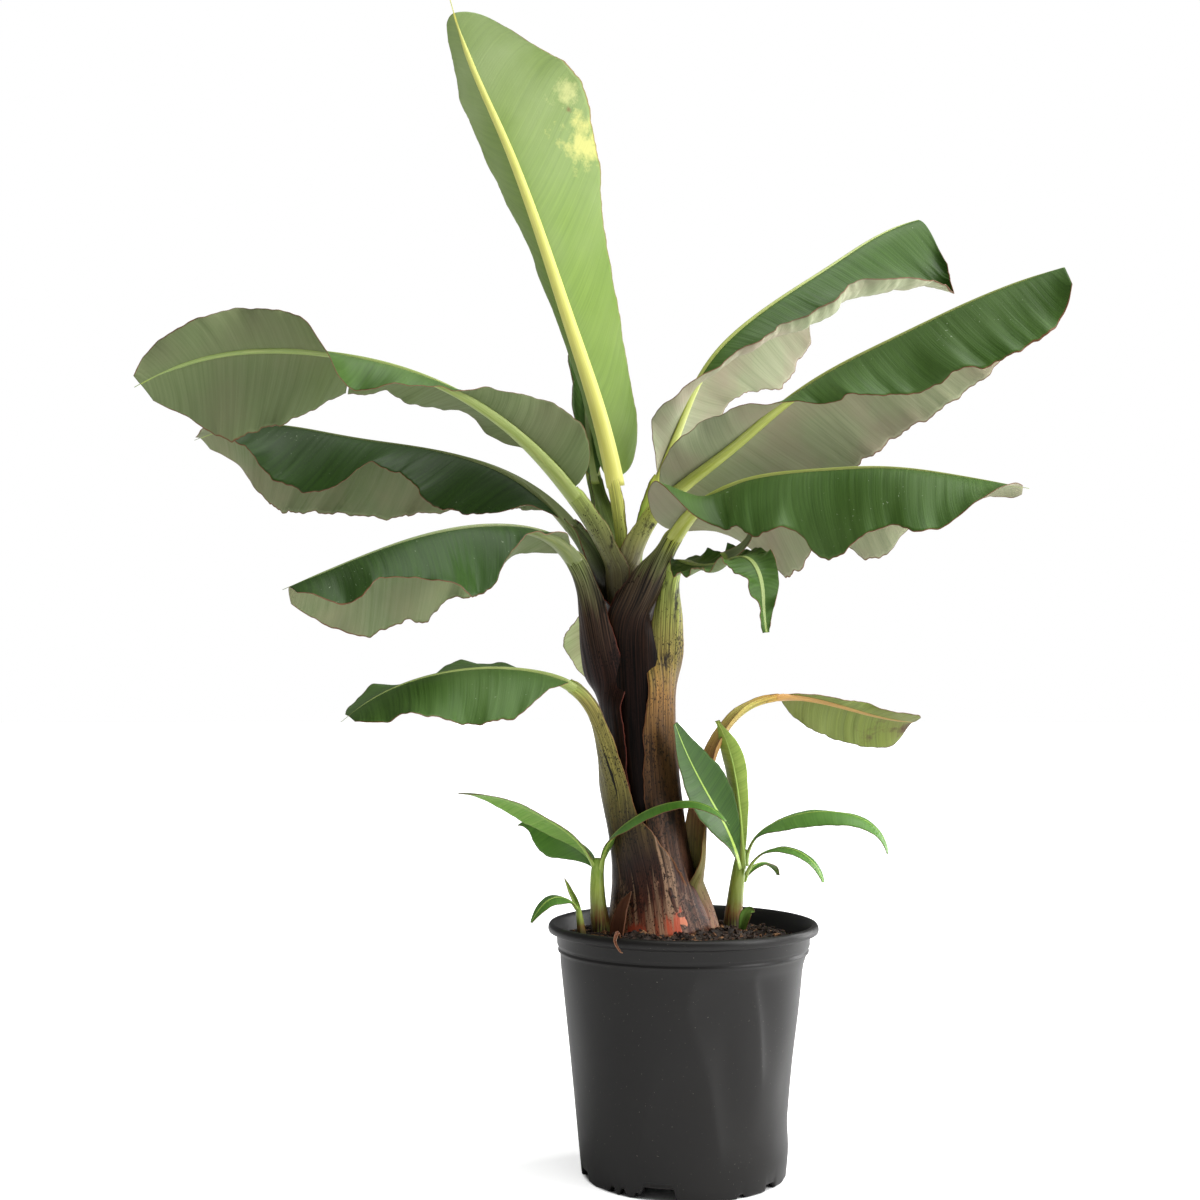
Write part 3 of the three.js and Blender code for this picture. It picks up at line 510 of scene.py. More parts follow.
# ---- trunk, stalks and stems ---------------------------------------------------------
STALK_ROWS, CLIMB_ROWS = 46, 44
STALK_AROUND = 48
STALK_TAPER = 0.8
FOOT_DEPTH = 5                          # depth of a sheath at its heel
MOST_WRAP = 2.4                         # the widest half arc of a sheath, in radians
WRAP_WAVES = (0.025, 0.02, 0.008, 0.005)
CORE_TOP, CORE_SINK = 596, 8
# Ridges where older sheaths end on the core: (direction, twist, height)
CORE_RIDGES = [(0.4, 1.1, 2.4), (1.7, -0.9, 2.2), (2.9, 0.7, 2.6), (4.1, -0.8, 2.0),
               (5.3, 0.5, 1.8)]


def eased(rows, reach=6):
    """Rows smoothed along a path, with both ends kept."""
    window = np.hanning(2 * reach + 3)[1:-1]
    before = 2 * rows[0] - rows[reach:0:-1]
    after = 2 * rows[-1] - rows[-2:-reach - 2:-1]
    padded = np.vstack([before, rows, after])
    return together(*(np.convolve(column, window / window.sum(), "valid")
                      for column in padded.T))


def stalk_path(leaf):
    """A stalk from heel to blade: rows of points, sideways and normal, and length so far."""
    ribs = rib(leaf, LEVEL)
    root = ribs[0][0]
    middle, radius = trunk_at(root[2:])
    away = root - middle[0]
    start = np.degrees(np.arctan2(away[1], away[0]))
    start += 360 * np.rint((leaf["turn"][-1] - start) / 360)
    stand = [*leaf["off"], np.hypot(*away[:2]) - radius[0]]
    # up the trunk from the heel to the root
    k = np.linspace(0, 1, CLIMB_ROWS, endpoint=False)
    centre, radius = trunk_at(mix(leaf["heel"], root[2], k))
    turn = np.radians(staged([*leaf["turn"], start], k))
    climb = centre + together(np.cos(turn), np.sin(turn), 0) * (
        radius + staged(stand, k))[:, None]
    across = together(-np.sin(turn), np.cos(turn), 0)
    # and on to the blade
    stalk = at_share(ribs, leaf["stalk"] * np.linspace(0, 1, STALK_ROWS))
    point = eased(np.vstack([climb, stalk[0]]))
    across = eased(np.vstack([across, stalk[2]]))
    along = unit(np.gradient(point, axis=0))
    across = unit(across - along * np.sum(across * along, axis=1)[:, None])
    run = np.concatenate([[0], np.cumsum(np.linalg.norm(np.diff(point, axis=0), axis=1))])
    return point, across, np.cross(along, across), run


def stalk_points(leaf, seed):
    """A sheath and stalk: a crescent round the trunk that closes to a deep channel."""
    point, sideways, normal, run = stalk_path(leaf)
    neck_wide, neck_deep = leaf["neck"]
    share = run / run[-1]
    deep = mix(FOOT_DEPTH, neck_deep, share ** STALK_TAPER)
    hug = np.hypot(*(point - trunk_at(point[:, 2])[0])[:, :2].T) + deep
    hug[CLIMB_ROWS:] = hug[CLIMB_ROWS]
    hug = np.minimum(hug, leaf.get("clasp", np.inf))
    left_root = run[CLIMB_ROWS]
    leaving = smooth(run, left_root * 0.9, mix(left_root, run[-1], 0.85))
    curve = mix(hug, neck_wide, leaving)
    left, right = (
        np.minimum(staged(wrap, share) * (1 + waves(run, seed + i, lengths, WRAP_WAVES)) / curve,
                   MOST_WRAP)[:, None]
        for i, wrap, lengths in ((0, leaf["wrap"], (53, 29, 13, 7)),
                                 (1, leaf.get("wrap_right", leaf["wrap"]), (47, 31, 12, 6))))
    thick = np.minimum(mix(3.2, 6.5, smooth(share, 0.4, 0.9)) + 4 * smooth(share, 0.88, 1),
                       mix(0.62, 0.95, smooth(share, 0.88, 1)) * curve)[:, None]
    curve = curve[:, None]
    # each row goes round the outer face, then back round the inner one
    half = STALK_AROUND // 2
    k = np.linspace(-1, 1, half)
    k = np.concatenate([k, k[::-1], [-1]])[None, :]
    inner = np.repeat([0, 1, 0], [half, half, 1])
    angle = np.where(k < 0, k * left, k * right)
    wall = 0.5 + (thick - 0.5) * (1 - np.abs(k)**2.2) ** 0.8
    around = angle * curve
    lift = 0.4 * waves(around, seed + 3, (11, 6.5, 4), (0.5, 0.4, 0.25))
    radial = curve - inner * wall + lift * (1 - inner) * (1 - k**4)
    grid = offset(point, (sideways, radial * np.sin(angle)),
                  (normal, curve - deep[:, None] - radial * np.cos(angle)))
    # the last few millimetres slip under the midrib
    axis = (point + normal * (0.1 * neck_deep))[:, None]
    grid = axis + (grid - axis) * (1 - 0.2 * smooth(run, run[-1] - 8, run[-1]))[:, None, None]
    return grid, {"outline": together(share[:, None], k),
                  "size": together(run[:, None], around) * MM}


def trunk_points(rows=110, around=120):
    """The false trunk's core: a leaning, flared limb with the ridges of buried sheaths."""
    z = np.linspace(SOIL_TOP - 8, CORE_TOP, rows + 1)
    centre, radius = trunk_at(z)
    z = z[:, None]
    angle = np.linspace(0, 2 * pi, around + 1)[None, :]
    height = (z - SOIL_TOP) / (TRUNK["top"] - SOIL_TOP)
    ridges = 0
    for start, twist, tall in CORE_RIDGES:
        gone = (angle - start - twist * height) % (2 * pi)
        ridges = ridges + tall * np.exp(-gone / 0.5) * smooth(gone, 0, 0.03)
    fine = waves(angle + 4 / 34 * height, 61, [2 * pi / count for count in (19, 31, 47)],
                 (0.35, 0.3, 0.2))
    close = np.sqrt(1 - smooth(z, CORE_TOP - 45, CORE_TOP + 4))
    swell = (radius[:, None] - CORE_SINK + ridges + fine) * close
    return (ringed(swell, angle, z, centre[:, :1], centre[:, 1:2]),
            {"outline": together(height, angle / (2 * pi))})


def stem_points(shoot, seed, rows=48, around=28):
    """A side shoot's stem from under the soil to its top, ringed by its own sheaths."""
    foot, bend, top = (np.array(shoot[key], float) for key in ("foot", "bend", "top"))
    s = np.linspace(-0.12, 1, rows + 1)[:, None]
    x, y, z = ((1 - s)**2 * foot + 2 * s * (1 - s) * bend + s**2 * top).T[..., None]
    radius = staged(shoot["radius"], np.maximum(s, 0))
    angle = np.linspace(0, 2 * pi, around + 1)[None, :]
    step = (angle - 2.2 - 3.3 * s) % (2 * pi)
    ridge = 0.07 * np.exp(-step / 0.8) * smooth(step, 0, 0.1) + 0.012 * np.cos(9 * angle + seed)
    swell = radius * (0.95 + ridge) * mix(1.0, 0.86, smooth(s, 0.8, 1))
    return (ringed(swell, angle, z, x, y),
            {"outline": together(np.maximum(s, 0), angle / (2 * pi))})


# ---- pot and potting mix -------------------------------------------------------------
TRUNK_CLEAR = 44                        # no crumbs nearer than this to the trunk's middle
CRUMB_REACH = 0.885 * LIP_RADIUS
FOOT_RADIUS = 97 / 130 * LIP_RADIUS
SHOULDER_RADIUS = 118 / 130 * LIP_RADIUS
COLLAR_RADIUS = 121.5 / 130 * LIP_RADIUS
WALL = 2.5
RAISED_FLOOR = 9.5
# Drain notches round the foot: (direction in degrees, half width, height)
NOTCHES = [(-107, 16, 11), (-128, 3.2, 6.5), (-135, 3.4, 6), (-119, 3.0, 5), (-60, 3.6, 3.5),
           (-38, 8, 6), (5, 10, 8), (42, 4, 5), (70, 11, 8), (100, 4, 5), (135, 10, 8),
           (165, 4, 5), (195, 11, 8)]
# Dents in the wall: (direction in degrees, height, half angle, half height, depth)
DENTS = [(-72, 112, 7, 46, 1.5), (-52, 88, 9, 34, -1.1), (-20, 92, 16, 38, 2.8),
         (-80, 60, 10, 30, -0.9), (-160, 120, 14, 50, 1.6), (-120, 150, 12, 26, 0.6),
         (60, 110, 14, 50, 1.8), (130, 80, 12, 40, 1.4)]
# Creases where the wall folds in: (directions from low to high, low, high, reach, depth)
CREASES = [([-74, -77, -80, -86, -91, -86], 40, 205, 26, 6.8),
           ([-48, -52, -58], 110, 200, 9, 2.4), ([-118, -112, -106], 30, 120, 12, 1.2),
           ([60, 70], 40, 190, 16, 2.5)]


def pot_points(around=300):
    """A thin-walled pot turned from its profile, then dented and notched round its foot."""
    lip = POT_HEIGHT - 31
    collar = lip + 7
    wall = [(mix(FOOT_RADIUS, SHOULDER_RADIUS, (z - 3) / (collar - 9)), z)
            for z in (3, 6, 10, *np.linspace(18, collar - 6, 26))]
    rim = [(radius + out, lip + up) for radius, steps in (
        (SHOULDER_RADIUS, [(0.3, 3), (2.2, 4), (2.6, 5.4), (1.7, 6.6), (1.6, 8.6), (2.9, 9.6)]),
        (COLLAR_RADIUS, [(0, 11.4), (0.1, 19), (0.8, 20.6)]),
        (LIP_RADIUS, [(-3.4, 21.6), (-0.8, 22.8), (0, 25), (-0.3, 28), (-1.8, 30.3), (-4, 31),
                      (-6, 30.2), (-7.4, 27.4)]),
        (COLLAR_RADIUS - WALL, [(-0.4, 21), (-0.6, 13)]),
        (SHOULDER_RADIUS - WALL, [(0, 9)])) for out, up in steps]
    inside = [(r - WALL, z) for r, z in wall[:3:-1]]
    under = [(0, RAISED_FLOOR), (FOOT_RADIUS - 9, RAISED_FLOOR), (FOOT_RADIUS - 7, 0.6),
             (FOOT_RADIUS - 6, 0), (FOOT_RADIUS - 1.5, 0), (FOOT_RADIUS - 0.3, 1)]
    radius, z = np.array([*under, *wall, *rim, *inside, (0, RAISED_FLOOR + 2)]).T[..., None]
    angle = np.linspace(0, 2 * pi, around + 1)[None, :]

    def aside(direction):
        return (np.degrees(angle) - direction + 180) % 360 - 180
    push = 0.7 * np.cos(2 * (angle - 0.35)) + 0.4 * np.cos(3 * (angle - 1.3)) + 0 * z
    for direction, height, wide, tall, depth in DENTS:
        push -= depth * np.exp(-(aside(direction) / wide)**2 - ((z - height) / tall)**2)
    for starts, low, high, wide, depth in CREASES:
        past = np.maximum(aside(staged(starts, (z - low) / (high - low))) / wide, 0)
        fade = smooth(z, low - 20, low + 15) * (1 - smooth(z, high - 15, high + 10))
        push -= depth * fade * past * np.exp(1 - past)
    push *= (1 - smooth(z, collar - 14, collar)) * smooth(radius, 60, 80)
    raised = 0.45 * (1 + np.cos(angle * 21 + 2 * np.cos(angle * 5)))
    for direction, wide, tall in NOTCHES:
        off = np.abs(aside(direction)) * radians(1) * FOOT_RADIUS
        raised = np.maximum(raised, tall * (1 - smooth(off, wide - 1.5, wide + 1.5)))
    level = z + raised * (1 - smooth(z, 2, 14)) * (radius > FOOT_RADIUS - 8)
    return ringed(radius + push, angle, level), {}


def lumps(x, y, seed, lengths, heights):
    """An uneven surface: waves of these lengths and heights, each in a seeded direction."""
    rng = np.random.default_rng(seed)
    total = np.zeros(np.broadcast(x, y).shape)
    for length, height in zip(lengths, heights):
        for _ in range(3):
            way, phase = rng.uniform(0, 2 * pi, 2)
            total += height * np.sin(2 * pi * (x * cos(way) + y * sin(way)) / length + phase)
    return total


def soil_height(x, y):
    """The top of the potting mix: lumpy, heaped at the trunk and lower by the wall."""
    away = np.hypot(x - TRUNK["x"][0], y - TRUNK["y"][0])
    return (SOIL_TOP + 4.5 * np.exp(-((away - 50) / 24)**2)
            - 5 * smooth(np.hypot(x, y), 70, 116)
            + lumps(x, y, 5, (46, 19, 9.5, 5.2), (0.75, 0.6, 0.5, 0.35)))


def soil_points(around=220):
    """A plug of potting mix that fills the pot up to its uneven top."""
    inner = SHOULDER_RADIUS - 0.2
    low = mix(FOOT_RADIUS, SHOULDER_RADIUS, 60 / POT_HEIGHT) - WALL - 8
    radius = np.concatenate([np.linspace(0, inner, 94), [inner - 9, low, 0]])[:, None]
    angle = np.linspace(0, 2 * pi, around + 1)[None, :]
    z = soil_height(radius * np.cos(angle), radius * np.sin(angle))
    z[-3:] = np.array([SOIL_TOP - 18, 60, 60])[:, None]
    z[0] = z[0, 0]
    return ringed(radius, angle, z), {}


def scatter(name, count, sizes, seed):
    """Small crumbs strewn on the potting mix, clear of the trunk and inside the wall."""
    rng = np.random.default_rng(seed)
    bm = bmesh.new()
    for _ in range(count):
        away, turn = CRUMB_REACH * np.sqrt(rng.uniform(0, 1)), rng.uniform(0, 2 * pi)
        x, y = away * cos(turn), away * sin(turn)
        size = [rng.uniform(*span) for span in sizes]
        spin, tilt, lean = rng.uniform(0, 2 * pi), rng.normal(0, 0.35), rng.normal(0, 0.35)
        bulge = rng.uniform(0.55, 1.0, 8)
        if np.hypot(x - TRUNK["x"][0], y - TRUNK["y"][0]) < TRUNK_CLEAR:
            continue
        z = float(soil_height(np.array(x), np.array(y))) + size[2] * 0.25
        place_at = (Matrix.Translation(Vector((x, y, z)) * MM)
                    @ Euler((tilt, lean, spin)).to_matrix().to_4x4()
                    @ Matrix.Diagonal((*(length * MM for length in size), 1)))
        made = bmesh.ops.create_cube(bm, size=1)["verts"]
        for vertex, share in zip(made, bulge):
            vertex.co *= share
        bmesh.ops.transform(bm, matrix=place_at, verts=made)
    mesh = bpy.data.meshes.new(name)
    bm.to_mesh(mesh)
    bm.free()
    return mesh


# ---- materials -----------------------------------------------------------------------
def linear(code):
    """A colour from its sRGB hex code."""
    channels = [int(code[i:i + 2], 16) / 255 for i in (1, 3, 5)]
    return (*(c / 12.92 if c <= 0.04045 else ((c + 0.055) / 1.055)**2.4 for c in channels), 1)


def add_node(tree, kind, inputs=(), out=0, stops=(), **settings):
    """Adds a node with its settings and gives its output. The inputs come in order or by
    key, and each is a value, a colour code or an output to link."""
    made = tree.nodes.new("ShaderNode" + kind)
    for key, value in settings.items():
        setattr(made, key, value)
    for key, value in inputs.items() if isinstance(inputs, dict) else enumerate(inputs):
        if isinstance(value, bpy.types.NodeSocket):
            tree.links.new(value, made.inputs[key])
        else:
            made.inputs[key].default_value = linear(value) if isinstance(value, str) else value
    for _ in stops[2:]:
        made.color_ramp.elements.new(1)
    for element, (where, code) in zip(made.color_ramp.elements if stops else (), stops):
        element.position, element.color = where, linear(code)
    return made.outputs[out]


def material(name, roughness, specular=0.5):
    """A new material, and the function that adds nodes to it."""
    made = bpy.data.materials.new(name)
    made.use_nodes = True
    shader = made.node_tree.nodes["Principled BSDF"]
    shader.inputs["Roughness"].default_value = roughness
    shader.inputs["Specular IOR Level"].default_value = specular
    return made, partial(add_node, made.node_tree)


def coated(made, add, colour, coats, relief=None, gloss=None, glow=None):
    """Lays the coats, each a share and a colour, over a base colour, and finishes made.

    relief is (height, strength, distance in metres), gloss is (pattern, least roughness,
    most roughness), and glow is the strength of the same colour's own light."""
    for share, code in coats:
        colour = add("Mix", {0: share, 6: colour, 7: code}, 2, data_type="RGBA")
    ends = {"Base Color": colour}
    if relief:
        ends["Normal"] = add("Bump", dict(zip(("Height", "Strength", "Distance"), relief)))
    if gloss:
        ends["Roughness"] = add("MapRange", [gloss[0], 0, 1, *gloss[1:]])
    if glow:
        ends |= {"Emission Strength": glow, "Emission Color": colour}
    for key, socket in ends.items():
        made.node_tree.links.new(socket, made.node_tree.nodes["Principled BSDF"].inputs[key])
    return made


def blade_material(name, dark, light, rib, edge, roughness, tint, tinted=0.5, bloom=None,
                   specular=0.3, rib_half=0.0030, spots=(), dusty=False, frost=None, patches=()):
    """Banana leaf: living tissue under a thin coat of natural wax, in fine parallel veins.

    Veins run out from the rib at about 1 mm spacing, with broader ones every 8 mm; light
    catches on them as fine lines, and the thin edge dries to a darker line. tint mottles
    it, bloom and frost are its wax, spots (scale, start, end, most, low, high, colour) the
    stains that spread to the tip, patches (place, radius, colour) its pale areas, and dusty
    scatters pale specks over it."""
    made, add = material(name, roughness, specular)
    veins = add("UVMap", uv_map="veins")
    ahead, across = add("SeparateXYZ", [add("UVMap", uv_map="outline")], slice(2))
    place_at = add("TexCoord", out="Object")
    fine, broad = (add("TexNoise", dict(
        Vector=add("Mapping", dict(Vector=veins, Scale=stretch)), Scale=1.0, Detail=detail,
        Roughness=rough), noise_dimensions="2D")
        for stretch, detail, rough in (((480, 9, 1), 4.0, 0.62), ((150, 5, 1), 3.0, 0.6)))
    mottle = add("TexNoise", dict(Vector=place_at, Scale=16.0, Detail=4.0))
    softened = add("Math", [broad, 0.45], operation="MULTIPLY")
    stripes = add("Math", [fine, 0.55, softened], operation="MULTIPLY_ADD")
    coats = [(add("MapRange", [stripes, 0.29, 0.71]), light),
             (add("MapRange", [mottle, 0.42, 0.66, 0, tinted]), tint)]
    if bloom:
        haze = add("TexNoise", dict(Vector=place_at, Scale=7.0, Detail=2.0))
        coats.append((add("MapRange", [haze, 0.45, 0.75, 0, 0.35]), bloom))
    for scale, start, end, most, low, high, code in spots:
        blot = add("TexNoise", dict(Vector=place_at, Scale=scale, Detail=5.0, Roughness=0.65))
        zone = add("MapRange", [ahead, start, end, 0, most])
        reach = add("Math", [blot, zone], operation="ADD")
        coats.append((add("MapRange", [reach, low, high]), code))
    if frost:
        far = add("MapRange", [ahead, 0.35, 0.95, 0, 0.9])
        coats.append((add("Math", [mottle, far], operation="MULTIPLY"), frost))
    for centre, radius, code in patches:
        cells = add("TexNoise", dict(Vector=place_at, Scale=42.0, Detail=6.0, Roughness=0.7))
        away = add("VectorMath", [place_at, centre], "Value", operation="DISTANCE")
        near = add("Math", [away, -0.3 / radius, cells], operation="MULTIPLY_ADD")
        coats.append((add("MapRange", [near, 0.24, 0.44, 0, 0.75]), code))
    if dusty:
        speck = add("TexNoise", dict(Vector=place_at, Scale=420.0, Detail=2.0))
        zone = add("Math", [mottle, 0.3, speck], operation="MULTIPLY_ADD")
        coats.append((add("MapRange", [zone, 0.9, 0.95, 0, 0.55]), "#b4c4a4"))
    # the rib shows as a pale band that narrows to the tip
    away = add("Math", [add("SeparateXYZ", [veins], 1)], operation="ABSOLUTE")
    taper = add("MapRange", [ahead, 0, 1, rib_half, rib_half * 0.25])
    close = add("Math", [away, taper], operation="DIVIDE")
    coats.append((add("MapRange", [close, 1.5, 0.8]), rib))
    # the dried edge
    far = add("Math", [across], operation="ABSOLUTE")
    burn = add("MapRange", [ahead, 0.8, 1.0, 0.012, 0.06])
    ragged = add("Math", [broad, burn, far], operation="MULTIPLY_ADD")
    coats.append((add("MapRange", [ragged, 0.988, 1.004, 0, 0.9]), edge))
    return coated(made, add, dark, coats, (stripes, 0.5, 0.0009),
                  (mottle, roughness - 0.07, roughness + 0.1))


def rib_material(name, base, tip, streak, roughness=0.42):
    """Banana midrib: smooth, firm, waxy tissue with faint lengthwise streaks."""
    made, add = material(name, roughness)
    shape = add("UVMap", uv_map="outline")
    lines = add("TexNoise", dict(
        Vector=add("Mapping", dict(Vector=shape, Scale=(14, 9, 1))), Scale=1.0, Detail=3.0),
        noise_dimensions="2D")
    coats = [(add("SeparateXYZ", [shape]), tip),
             (add("MapRange", [lines, 0.45, 0.75, 0, 0.5]), streak)]
    return coated(made, add, base, coats, (lines, 0.2, 0.0005))


def sheath_material(name, stops, speck, specks, edge, roughness=0.42, streak=0.3, blotch=0.0,
                    pale=None, patches=(), slit=None, specular=0.18):
    """Banana leaf sheath: smooth and waxy over long fibres, blotched and speckled with age.

    stops give its colour from heel to blade, specks the share of it that dark flecks take,
    edge the colour of its thin dry margin, pale that of a painted sheen (pale streaks along
    the fibres low on the sheath, standing in for silvery highlights), patches (place, radius,
    colour) are raw spots where old tissue tore away, and slit is a split (from, to, aside) in
    metres up the sheath, drawn as a near-black line of painted shade."""
    made, add = material(name, roughness, specular)
    ahead, across = add("SeparateXYZ", [add("UVMap", uv_map="outline")], slice(2))
    size = add("UVMap", uv_map="size")
    place_at = add("TexCoord", out="Object")
    fibres, bands = (add("TexNoise", dict(
        Vector=add("Mapping", dict(Vector=size, Scale=stretch)), Scale=1.0, Detail=3.0,
        Roughness=rough), noise_dimensions="2D")
        for stretch, rough in (((14, 700, 1), 0.6), ((7, 170, 1), 0.55)))
    fleck = add("TexNoise", dict(
        Vector=add("Mapping", dict(Vector=place_at, Scale=(1, 1, 0.6))), Scale=650.0))
    drift = add("TexNoise", dict(Vector=place_at, Scale=24.0, Detail=3.0))
    wander = add("Math", [bands, 0.14, ahead], operation="MULTIPLY_ADD")
    steady = add("Math", [wander, -0.07], operation="ADD")
    lines = add("MapRange", [fibres, 0.35, 0.7, 1 - streak, 1 + streak])
    colour = add("Mix", {0: 1.0, 6: add("ValToRGB", [steady], stops=stops),
                         7: add("CombineXYZ", [lines] * 3)}, 2, data_type="RGBA",
                 blend_type="MULTIPLY")
    coats = []
    # Painted sheen: pale streaks along the fibres, low on the sheath, stand in for its silvery
    # highlights.
    if pale:
        low = add("MapRange", [ahead, 0.08, 0.5, 0.15, -0.25])
        reach = add("Math", [bands, low], operation="ADD")
        coats.append((add("MapRange", [reach, 0.53, 0.7, 0, 0.8]), pale))
    if blotch:
        stain = add("TexNoise", dict(
            Vector=add("Mapping", dict(Vector=place_at, Scale=(1, 1, 0.4))), Scale=70.0,
            Detail=5.0, Roughness=0.7))
        least = 0.64 - 0.1 * blotch
        coats.append((add("MapRange", [stain, least, least + 0.1, 0, 0.9]), speck))
    cluster = add("Math", [drift, 0.5, fleck], operation="MULTIPLY_ADD")
    clean = add("MapRange", [ahead, 0.7, 1.0, 0, 0.12])
    cluster = add("Math", [cluster, clean], operation="SUBTRACT")
    coats.append((add("MapRange", [cluster, 0.93 - specks, 0.97 - specks, 0, 0.85]), speck))
    for centre, radius, code in patches:
        away = add("VectorMath", [place_at, centre], "Value", operation="DISTANCE")
        torn = add("Math", [bands, 1.6 * radius, away], operation="MULTIPLY_ADD")
        ragged = add("Math", [fibres, 1.1 * radius, torn], operation="MULTIPLY_ADD")
        coats.append((add("MapRange", [ragged, 2.5 * radius, 2.2 * radius, 0, 0.9]), code))
    # Painted shade: the split is a near-black line along the sheath, not an opening.
    if slit:
        low, high, aside = slit
        far, over = add("SeparateXYZ", [size], slice(2))
        bent = add("Math", [drift, 0.008, over], operation="MULTIPLY_ADD")
        off = add("Math", [bent, aside + 0.004], operation="SUBTRACT")
        half = add("Math", [far, 0.5 * (low + high)], operation="SUBTRACT")
        thin, half = (add("Math", [value], operation="ABSOLUTE") for value in (off, half))
        wide = add("MapRange", [half, 0.5 * (high - low), 0, 0, 0.0016])
        coats.append((add("Math", [wide, thin], operation="GREATER_THAN"), "#0c0806"))
    far = add("Math", [across], operation="ABSOLUTE")
    ragged = add("Math", [fleck, 0.05, far], operation="MULTIPLY_ADD")
    coats.append((add("MapRange", [ragged, 0.985, 1.02, 0, 0.8]), edge))
    return coated(made, add, colour, coats, (fibres, 0.4, 0.0008),
                  (drift, roughness - 0.14, roughness + 0.14))


def fibre_material(name, roughness, specular, fine, soft, wander, stops, pale, relief):
    """Upright fibres over colours that climb from the mix: fine (stretch, detail,
    roughness) and soft (stretch) are its patterns, and pale is (low, high, most, colour)."""
    made, add = material(name, roughness, specular)
    height = add("SeparateXYZ", [add("UVMap", uv_map="outline")])
    place_at = add("TexCoord", out="Object")
    fibres, drift = (add("TexNoise", dict(
        Vector=add("Mapping", dict(Vector=place_at, Scale=stretch)), Scale=1.0,
        Detail=detail, Roughness=rough))
        for stretch, detail, rough in (fine, (soft, 3.0, 0.5)))
    climb = add("Math", [drift, wander, height], operation="MULTIPLY_ADD")
    low, high, most, code = pale
    coats = [(add("MapRange", [fibres, low, high, 0, most]), code)]
    return coated(made, add, add("ValToRGB", [climb], stops=stops), coats, (fibres, *relief))


def pot_material():
    """Injection-moulded black polypropylene: a satin face with a fine grain, a few scuffs
    and some dust."""
    made, add = material("moulded_polypropylene_black_satin", 0.42, 0.28)
    place_at = add("TexCoord", out="Object")
    grain, haze, dust = (add("TexNoise", dict(
        Vector=place_at, Scale=scale, Detail=detail, Roughness=rough))
        for scale, detail, rough in ((1500.0, 2.0, 0.5), (9.0, 4.0, 0.6), (520.0, 2.0, 0.5)))
    coats = [(haze, "#191715"), (add("MapRange", [dust, 0.73, 0.77, 0, 0.35]), "#8d8578")]
    return coated(made, add, "#0e0d0d", coats, (grain, 0.12, 0.0002), (haze, 0.34, 0.5))


def crumb_material(name, dark, light, scale=420.0):
    """Composted pine bark and peat: matt, fibrous, a different brown in every crumb."""
    made, add = material(name, 0.85)
    place_at = add("TexCoord", out="Object")
    crumbs = add("TexNoise", dict(Vector=place_at, Scale=scale, Detail=5.0, Roughness=0.7))
    coats = [(add("MapRange", [crumbs, 0.42, 0.68]), light)]
    return coated(made, add, dark, coats, (crumbs, 0.8, 0.002))


def floor_material():
    """Matt white studio card. Outside the pot's foot it glows, for camera rays only, so that
    the shadow stays faint."""
    made, add = material("matt_white_card", 0.9)
    place_at = add("TexCoord", out="Object")
    grain = add("TexNoise", dict(Vector=place_at, Scale=40.0, Detail=3.0))
    away = add("VectorMath", [place_at], "Value", operation="LENGTH")
    clear = add("MapRange", [away, *GLOW_EDGE, 0, GLOW])
    glow = add("Math", [clear, add("LightPath", out="Is Camera Ray")], operation="MULTIPLY")
    return coated(made, add, "#f8f8f8", [(grain, "#fcfcfc")], glow=glow)


# ---- finishes ------------------------------------------------------------------------
GLOW, GLOW_EDGE = 0.7, (0.094, 0.098)   # the floor's glow and where it sets in, in metres
EDGE = "#6a3f2a"
SHOOT_EDGE = "#6b5a2c"
SHOOT_RIB = 0.0012
grown_top = blade_material(
    "banana_leaf_upper_side_waxed", "#2f4c14", "#48682a", "#93a552", EDGE, 0.48,
    "#3f5a22", bloom="#7c9a60", specular=0.2, dusty=True)
grown_under = blade_material(
    "banana_leaf_under_side_bloomed", "#5c6a42", "#6f7c54", "#93a552", EDGE, 0.6,
    "#706e54", 0.4, "#667a3c", specular=0.2)
pink_under = blade_material(
    "banana_leaf_under_side_reddish_bloom", "#8c9474", "#a4a688", "#a3b35c", EDGE, 0.6,
    "#9c8c7c", 0.7, "#7f9064", specular=0.2)
# A darker copy of the waxed upper side for the leaves on the left: its darker greens are painted
# shade.
shade_darkened_top = blade_material(
    "banana_leaf_upper_side_shade_darkened_green", "#1a2f0a", "#2c4812", "#7f9448", EDGE, 0.48,
    "#22380f", bloom="#3c5c28", specular=0.2, dusty=True)
deep_under = blade_material(
    "banana_leaf_under_side_deep_green", "#627048", "#7a8460", "#9db258", EDGE, 0.56,
    "#8a8468", bloom="#6a7c50", specular=0.25)
young_top = blade_material(
    "young_banana_leaf_upper_side_waxed", "#2c5520", "#4f8237", "#a4b560", "#7a5a38", 0.4,
    "#41702c", bloom="#6c9a62")
young_under = blade_material(
    "young_banana_leaf_under_side_bloomed", "#5f7c2a", "#78943a", "#e4de72", "#8a6a3c", 0.5,
    "#6a8434", bloom="#8a9c5c", frost="#a9b98a", patches=[
        ((-0.100, 0.045, 1.025), 0.036, "#d3cf78"), ((-0.116, 0.029, 1.070), 0.020, "#cdd08c"),
        ((-0.112, 0.034, 1.052), 0.005, "#7a5a34")])
pale_under = blade_material(
    "sheltered_banana_leaf_under_side", "#8b9a64", "#b2bc8c", "#c3c68c", EDGE, 0.6,
    "#a89c80", specular=0.25)
aged_under = blade_material(
    "ageing_banana_leaf_under_side", "#596626", "#7c8a36", "#c2a552", "#4d2d1c", 0.5,
    "#6a6a30", 0.6, "#7f8a54", spots=[(30, 0.5, 1.0, 0.2, 0.66, 0.8, "#4f3a20")])
